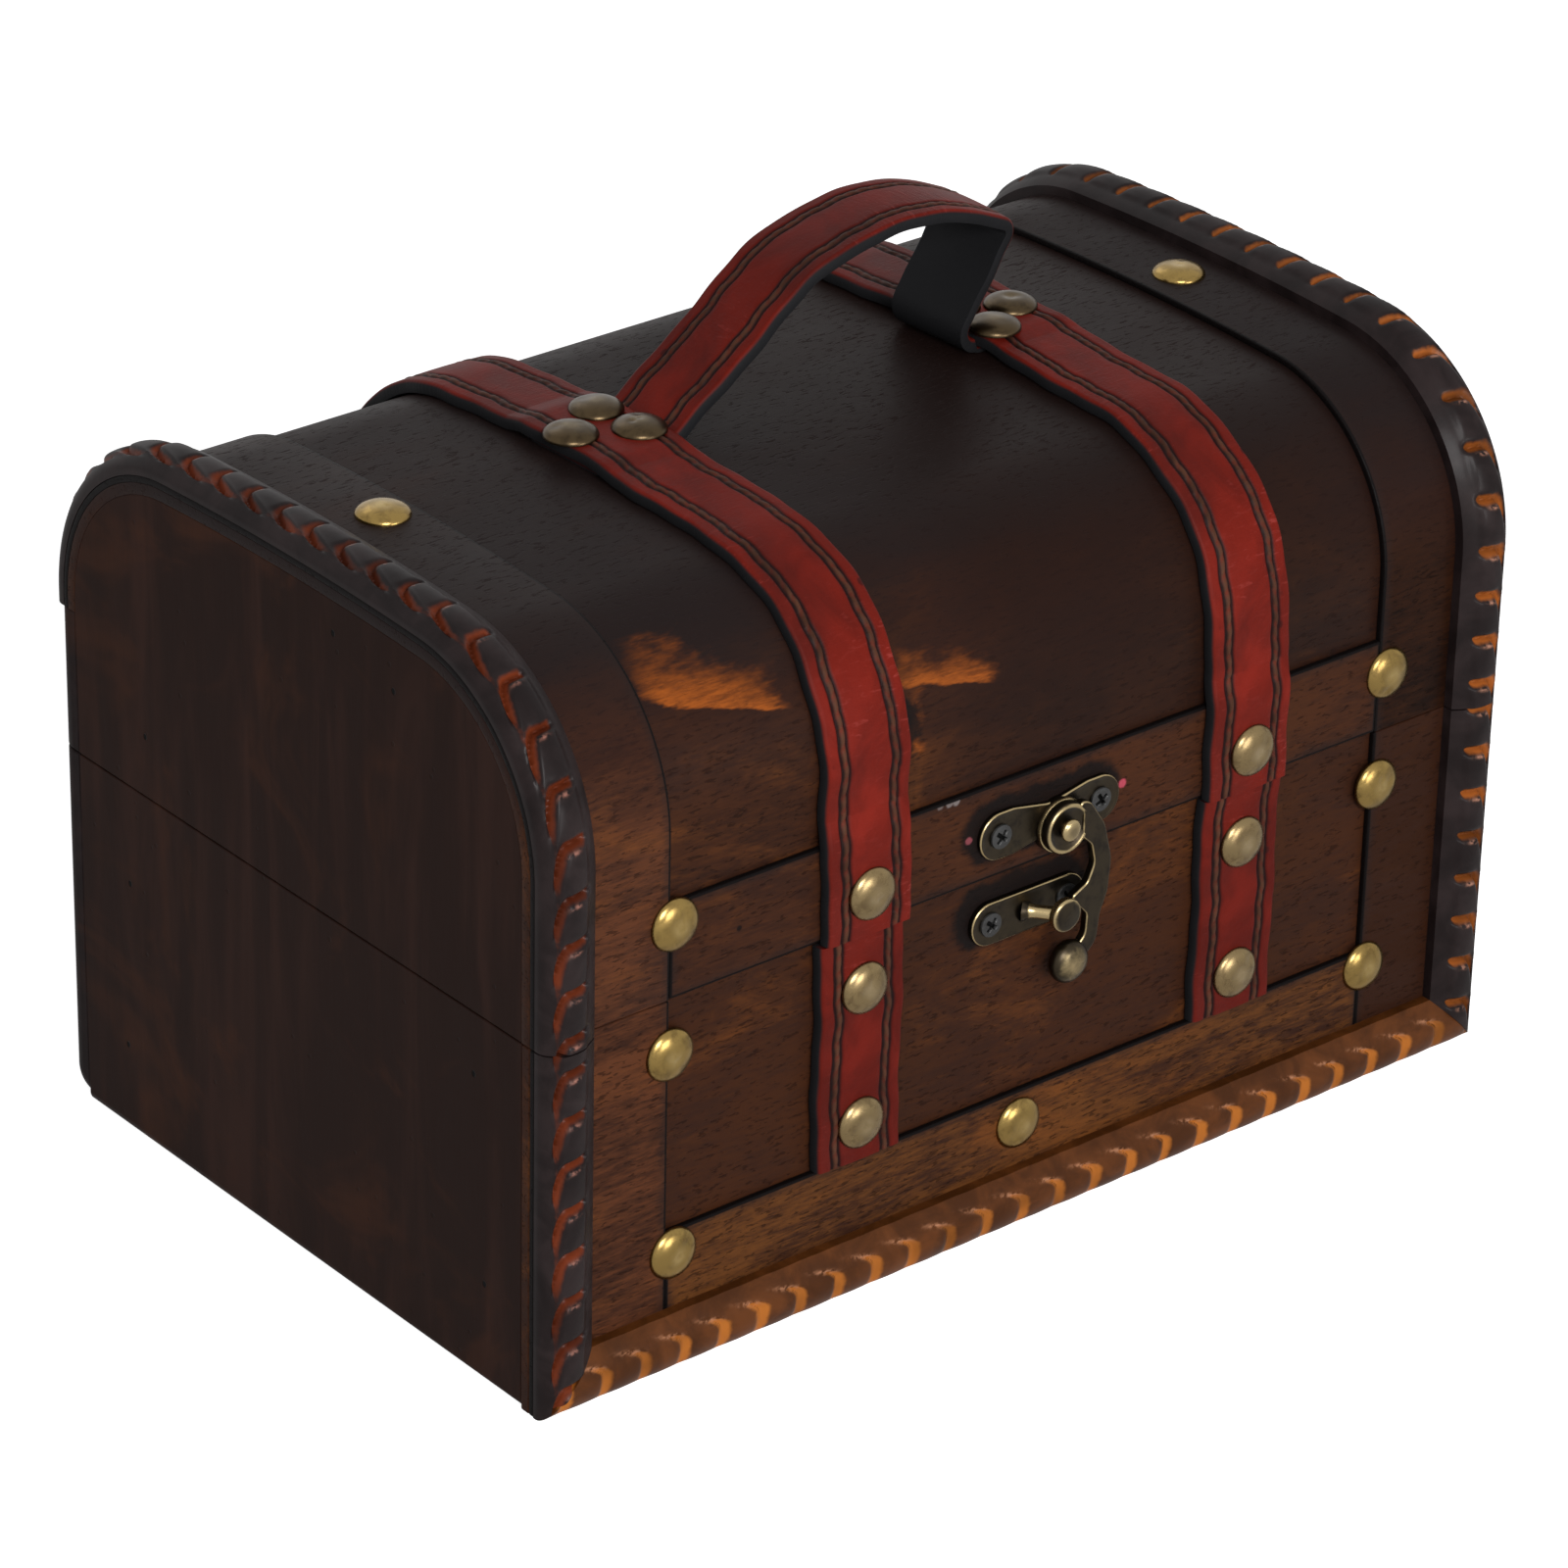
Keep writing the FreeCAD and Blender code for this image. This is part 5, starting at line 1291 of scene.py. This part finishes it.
class CHEST_OT_latch(ChestOperator, bpy.types.Operator):
    """The latch plate with its rivet, the catch plate with its peg, and the swinging hook"""

    bl_idname = "chest.latch"
    bl_label = "Latch"

    def execute(self, context):
        colours = self.colours
        look = metal_look("latch bronze", colours.bronze, colours.bronze_worn, BRONZE_TARNISH,
                          0.26, 0.75)
        gold = metal_look("latch rivet bronze", RIVET_BRONZE, colours.bronze_worn, RIVET_TARNISH,
                          0.24, 0.5)
        self.latch_plate(look, gold)
        self.catch_plate(look)
        self.hook(look)
        return {"FINISHED"}

    def latch_plate(self, look, gold):
        """A plate with two lobes about its screws, drawn in beside the boss of the pivot."""
        (x, z), end = LATCH_MIDDLE, LATCH_END
        tip, lobe, waist, bend = LATCH_SPACING / 2 + end, 8.5 * MM, 1.7 * MM, 6 * MM
        outline = closed_outline([
            (x + turn * across, z - turn * (end - rise), radius) for turn in (1, -1)
            for across, rise, radius in ((-tip, 0, end * 0.98), (-lobe, 0, bend), (0, waist, bend),
                                         (lobe, 0, bend), (tip, 0, end * 0.98))])
        front = -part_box("latch_plate")[0].y
        thick = 1.0 * MM
        shells = Shells()
        rings, worn = plate_rings(outline, -FRAME_FACE, -FRAME_FACE - thick, 0.4 * MM, 0.15 * MM)
        shells.add(rings, worn=worn)
        boss = revolved([0, 5.2 * MM, 5.2 * MM, 5.1 * MM, 4.8 * MM, 0],
                        [0, 0, front - FRAME_FACE - 0.4 * MM, front - FRAME_FACE - 0.1 * MM,
                         front - FRAME_FACE, front - FRAME_FACE])
        shells.add(turned(boss, (PIVOT[0], -FRAME_FACE, PIVOT[1]), TO_FRONT),
                   worn=np.array([0, 0, 0.5, 0.9, 0.5, 0])[:, None])
        shells.make("latch_plate_cast", ["latch_plate"], "lid", look, math.radians(40))
        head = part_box("latch_rivet")[0].y + 1.0 * MM
        turn = np.radians(np.linspace(0, 90, 12))
        shaft = -front - head
        radii = np.concatenate([[0, 1.5 * MM, 1.5 * MM, 2.1 * MM], 2.1 * MM * np.cos(turn) ** 0.7])
        heights = np.concatenate([[0, 0, shaft, shaft], shaft + (0.25 + 0.75 * np.sin(turn)) * MM])
        rivet = revolved(radii, heights)
        shells = Shells()
        shells.add(turned(rivet, (PIVOT[0], -front, PIVOT[1]), TO_FRONT),
                   worn=np.concatenate([[0, 0, 0, 0.3], 0.35 + 0.5 * np.cos(turn)])[:, None])
        shells.make("latch_rivet_domed", ["latch_rivet"], "lid", gold, math.radians(50))

    def catch_plate(self, look):
        """A round ended plate, a slanted peg and its disc head."""
        (x, z), end = CATCH_MIDDLE, CATCH_END
        left, right = x - CATCH_SPACING / 2 - end, x + CATCH_SPACING / 2 + end
        outline = closed_outline([(left, z - end, end * 0.98), (right, z - end, end * 0.98),
                                  (right, z + end, end * 0.98), (left, z + end, end * 0.98)])
        shells = Shells()
        rings, worn = plate_rings(outline, -PANEL_FACE, -PANEL_FACE - 1.2 * MM, 0.4 * MM, 0.1 * MM)
        shells.add(rings, worn=worn)
        head_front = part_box("catch_plate")[0].y
        foot = np.array([PEG_FOOT, -PANEL_FACE - 0.6 * MM, z])
        tip = np.array([PEG_HEAD, head_front + 1.0 * MM, z])
        length = np.linalg.norm(tip - foot)
        peg = revolved([0, 2.1 * MM, 1.6 * MM, 1.3 * MM, 1.25 * MM, 1.25 * MM, 0],
                       [0, 0, 0.8 * MM, 1.5 * MM, 2.6 * MM, length, length])
        shells.add(turned(peg, foot, tip - foot), worn=np.array([0, 0, 0.2, 0.8, 0.9, 0.6, 0])[:, None])
        radius, thick = 3.2 * MM, 2.0 * MM
        turn = np.radians(np.linspace(0, 90, 7))
        soft = 0.55 * MM
        radii = np.concatenate([[0], radius - soft + soft * np.sin(turn),
                                radius - soft + soft * np.cos(turn), [radius * 0.5, 0]])
        heights = np.concatenate([[0], soft - soft * np.cos(turn), thick - 0.2 * MM - soft
                                  + soft * np.sin(turn), [thick - 0.05 * MM, thick]])
        bright = np.concatenate([[0], np.full(7, 0.95), np.linspace(0.95, 0.4, 7), [0.1, 0.1]])
        shells.add(turned(revolved(radii, heights), (PEG_HEAD, head_front + thick, z), TO_FRONT),
                   worn=bright[:, None])
        shells.make("catch_plate_cast", ["catch_plate"], "base", look, math.radians(40))

    def hook(self, look):
        """A dished ring on the rivet, an arm that bows to the right, a claw behind the peg, a knob."""
        x, z = PIVOT
        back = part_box("latch_plate")[0].y - 0.3 * MM
        thick = 1.5 * MM
        shells = Shells()
        radii, heights, bright = np.array(RING_SECTION).T
        spokes = np.linspace(0, 2 * np.pi, 73)[:, None]
        ring = np.stack([x + radii * MM * np.cos(spokes), back - heights * MM + 0 * spokes,
                         z + radii * MM * np.sin(spokes)], -1)
        shells.add(ring, capped=False, worn=bright)
        arm = closed_outline([(x + across * MM, z + rise * MM, radius * MM)
                              for across, rise, radius in ARM_CORNERS])
        rings, worn = plate_rings(arm, back, back - thick, 0.5 * MM, inner=0.2 * MM)
        shells.add(rings, worn=worn * 0.75)
        angle = np.radians(np.linspace(-90, 90, 26))
        radii = 4.1 * MM * np.cos(angle) ** 0.75
        knob_look = np.clip(0.10 + 0.45 * np.sin(angle), 0, 1)[:, None]
        shells.add(turned(revolved(radii, 2.3 * MM * np.sin(angle)),
                          (x + 1.8 * MM, back - thick / 2, z - 27.1 * MM), TO_FRONT), worn=knob_look)
        shells.make("latch_hook_cast", ["latch_hook"], "hook", look, math.radians(50))


class CHEST_OT_hinges(ChestOperator, bpy.types.Operator):
    """Age the butt hinges and round their edges"""

    bl_idname = "chest.hinges"
    bl_label = "Hinges"

    def execute(self, context):
        colours = self.colours
        look = metal_look("hinge bronze", colours.bronze, colours.bronze_worn, HINGE_TARNISH, 0.34, 0.8)
        for word in SIDES:
            for node in ("hinge_leaf_lower_", "hinge_leaf_upper_", "hinge_pin_"):
                dress_board(node + word, look, 0.12 * MM)
        return {"FINISHED"}


class CHEST_PT_panel(bpy.types.Panel):
    """Sizes, colours and pieces of the chest"""

    bl_label = "Keepsake Chest"
    bl_idname = "CHEST_PT_panel"
    bl_space_type = "VIEW_3D"
    bl_region_type = "UI"
    bl_category = "Chest"

    def draw(self, context):
        for group in (context.scene.chest_sizes, context.scene.chest_colours):
            column = self.layout.column(align=True)
            for name in group.__annotations__:
                column.prop(group, name)
        column = self.layout.column(align=True)
        for operator in OPERATORS:
            column.operator(operator.bl_idname)


OPERATORS = (CHEST_OT_stage, CHEST_OT_boards, CHEST_OT_arched_wood, CHEST_OT_mouldings, CHEST_OT_straps,
             CHEST_OT_handle, CHEST_OT_nails, CHEST_OT_screws, CHEST_OT_latch, CHEST_OT_hinges)
CLASSES = (ChestSizes, ChestColours) + OPERATORS + (CHEST_PT_panel,)


def register():
    for kind in CLASSES:
        bpy.utils.register_class(kind)
    bpy.types.Scene.chest_sizes = PointerProperty(type=ChestSizes)
    bpy.types.Scene.chest_colours = PointerProperty(type=ChestColours)


def unregister():
    del bpy.types.Scene.chest_colours
    del bpy.types.Scene.chest_sizes
    for kind in reversed(CLASSES):
        bpy.utils.unregister_class(kind)


def main():
    """Make the chest."""
    register()
    bpy.ops.chest.stage()
    bpy.ops.chest.boards()
    bpy.ops.chest.arched_wood()
    bpy.ops.chest.mouldings()
    bpy.ops.chest.straps()
    bpy.ops.chest.handle()
    bpy.ops.chest.nails()
    bpy.ops.chest.screws()
    bpy.ops.chest.latch()
    bpy.ops.chest.hinges()


if __name__ == "__main__":
    main()
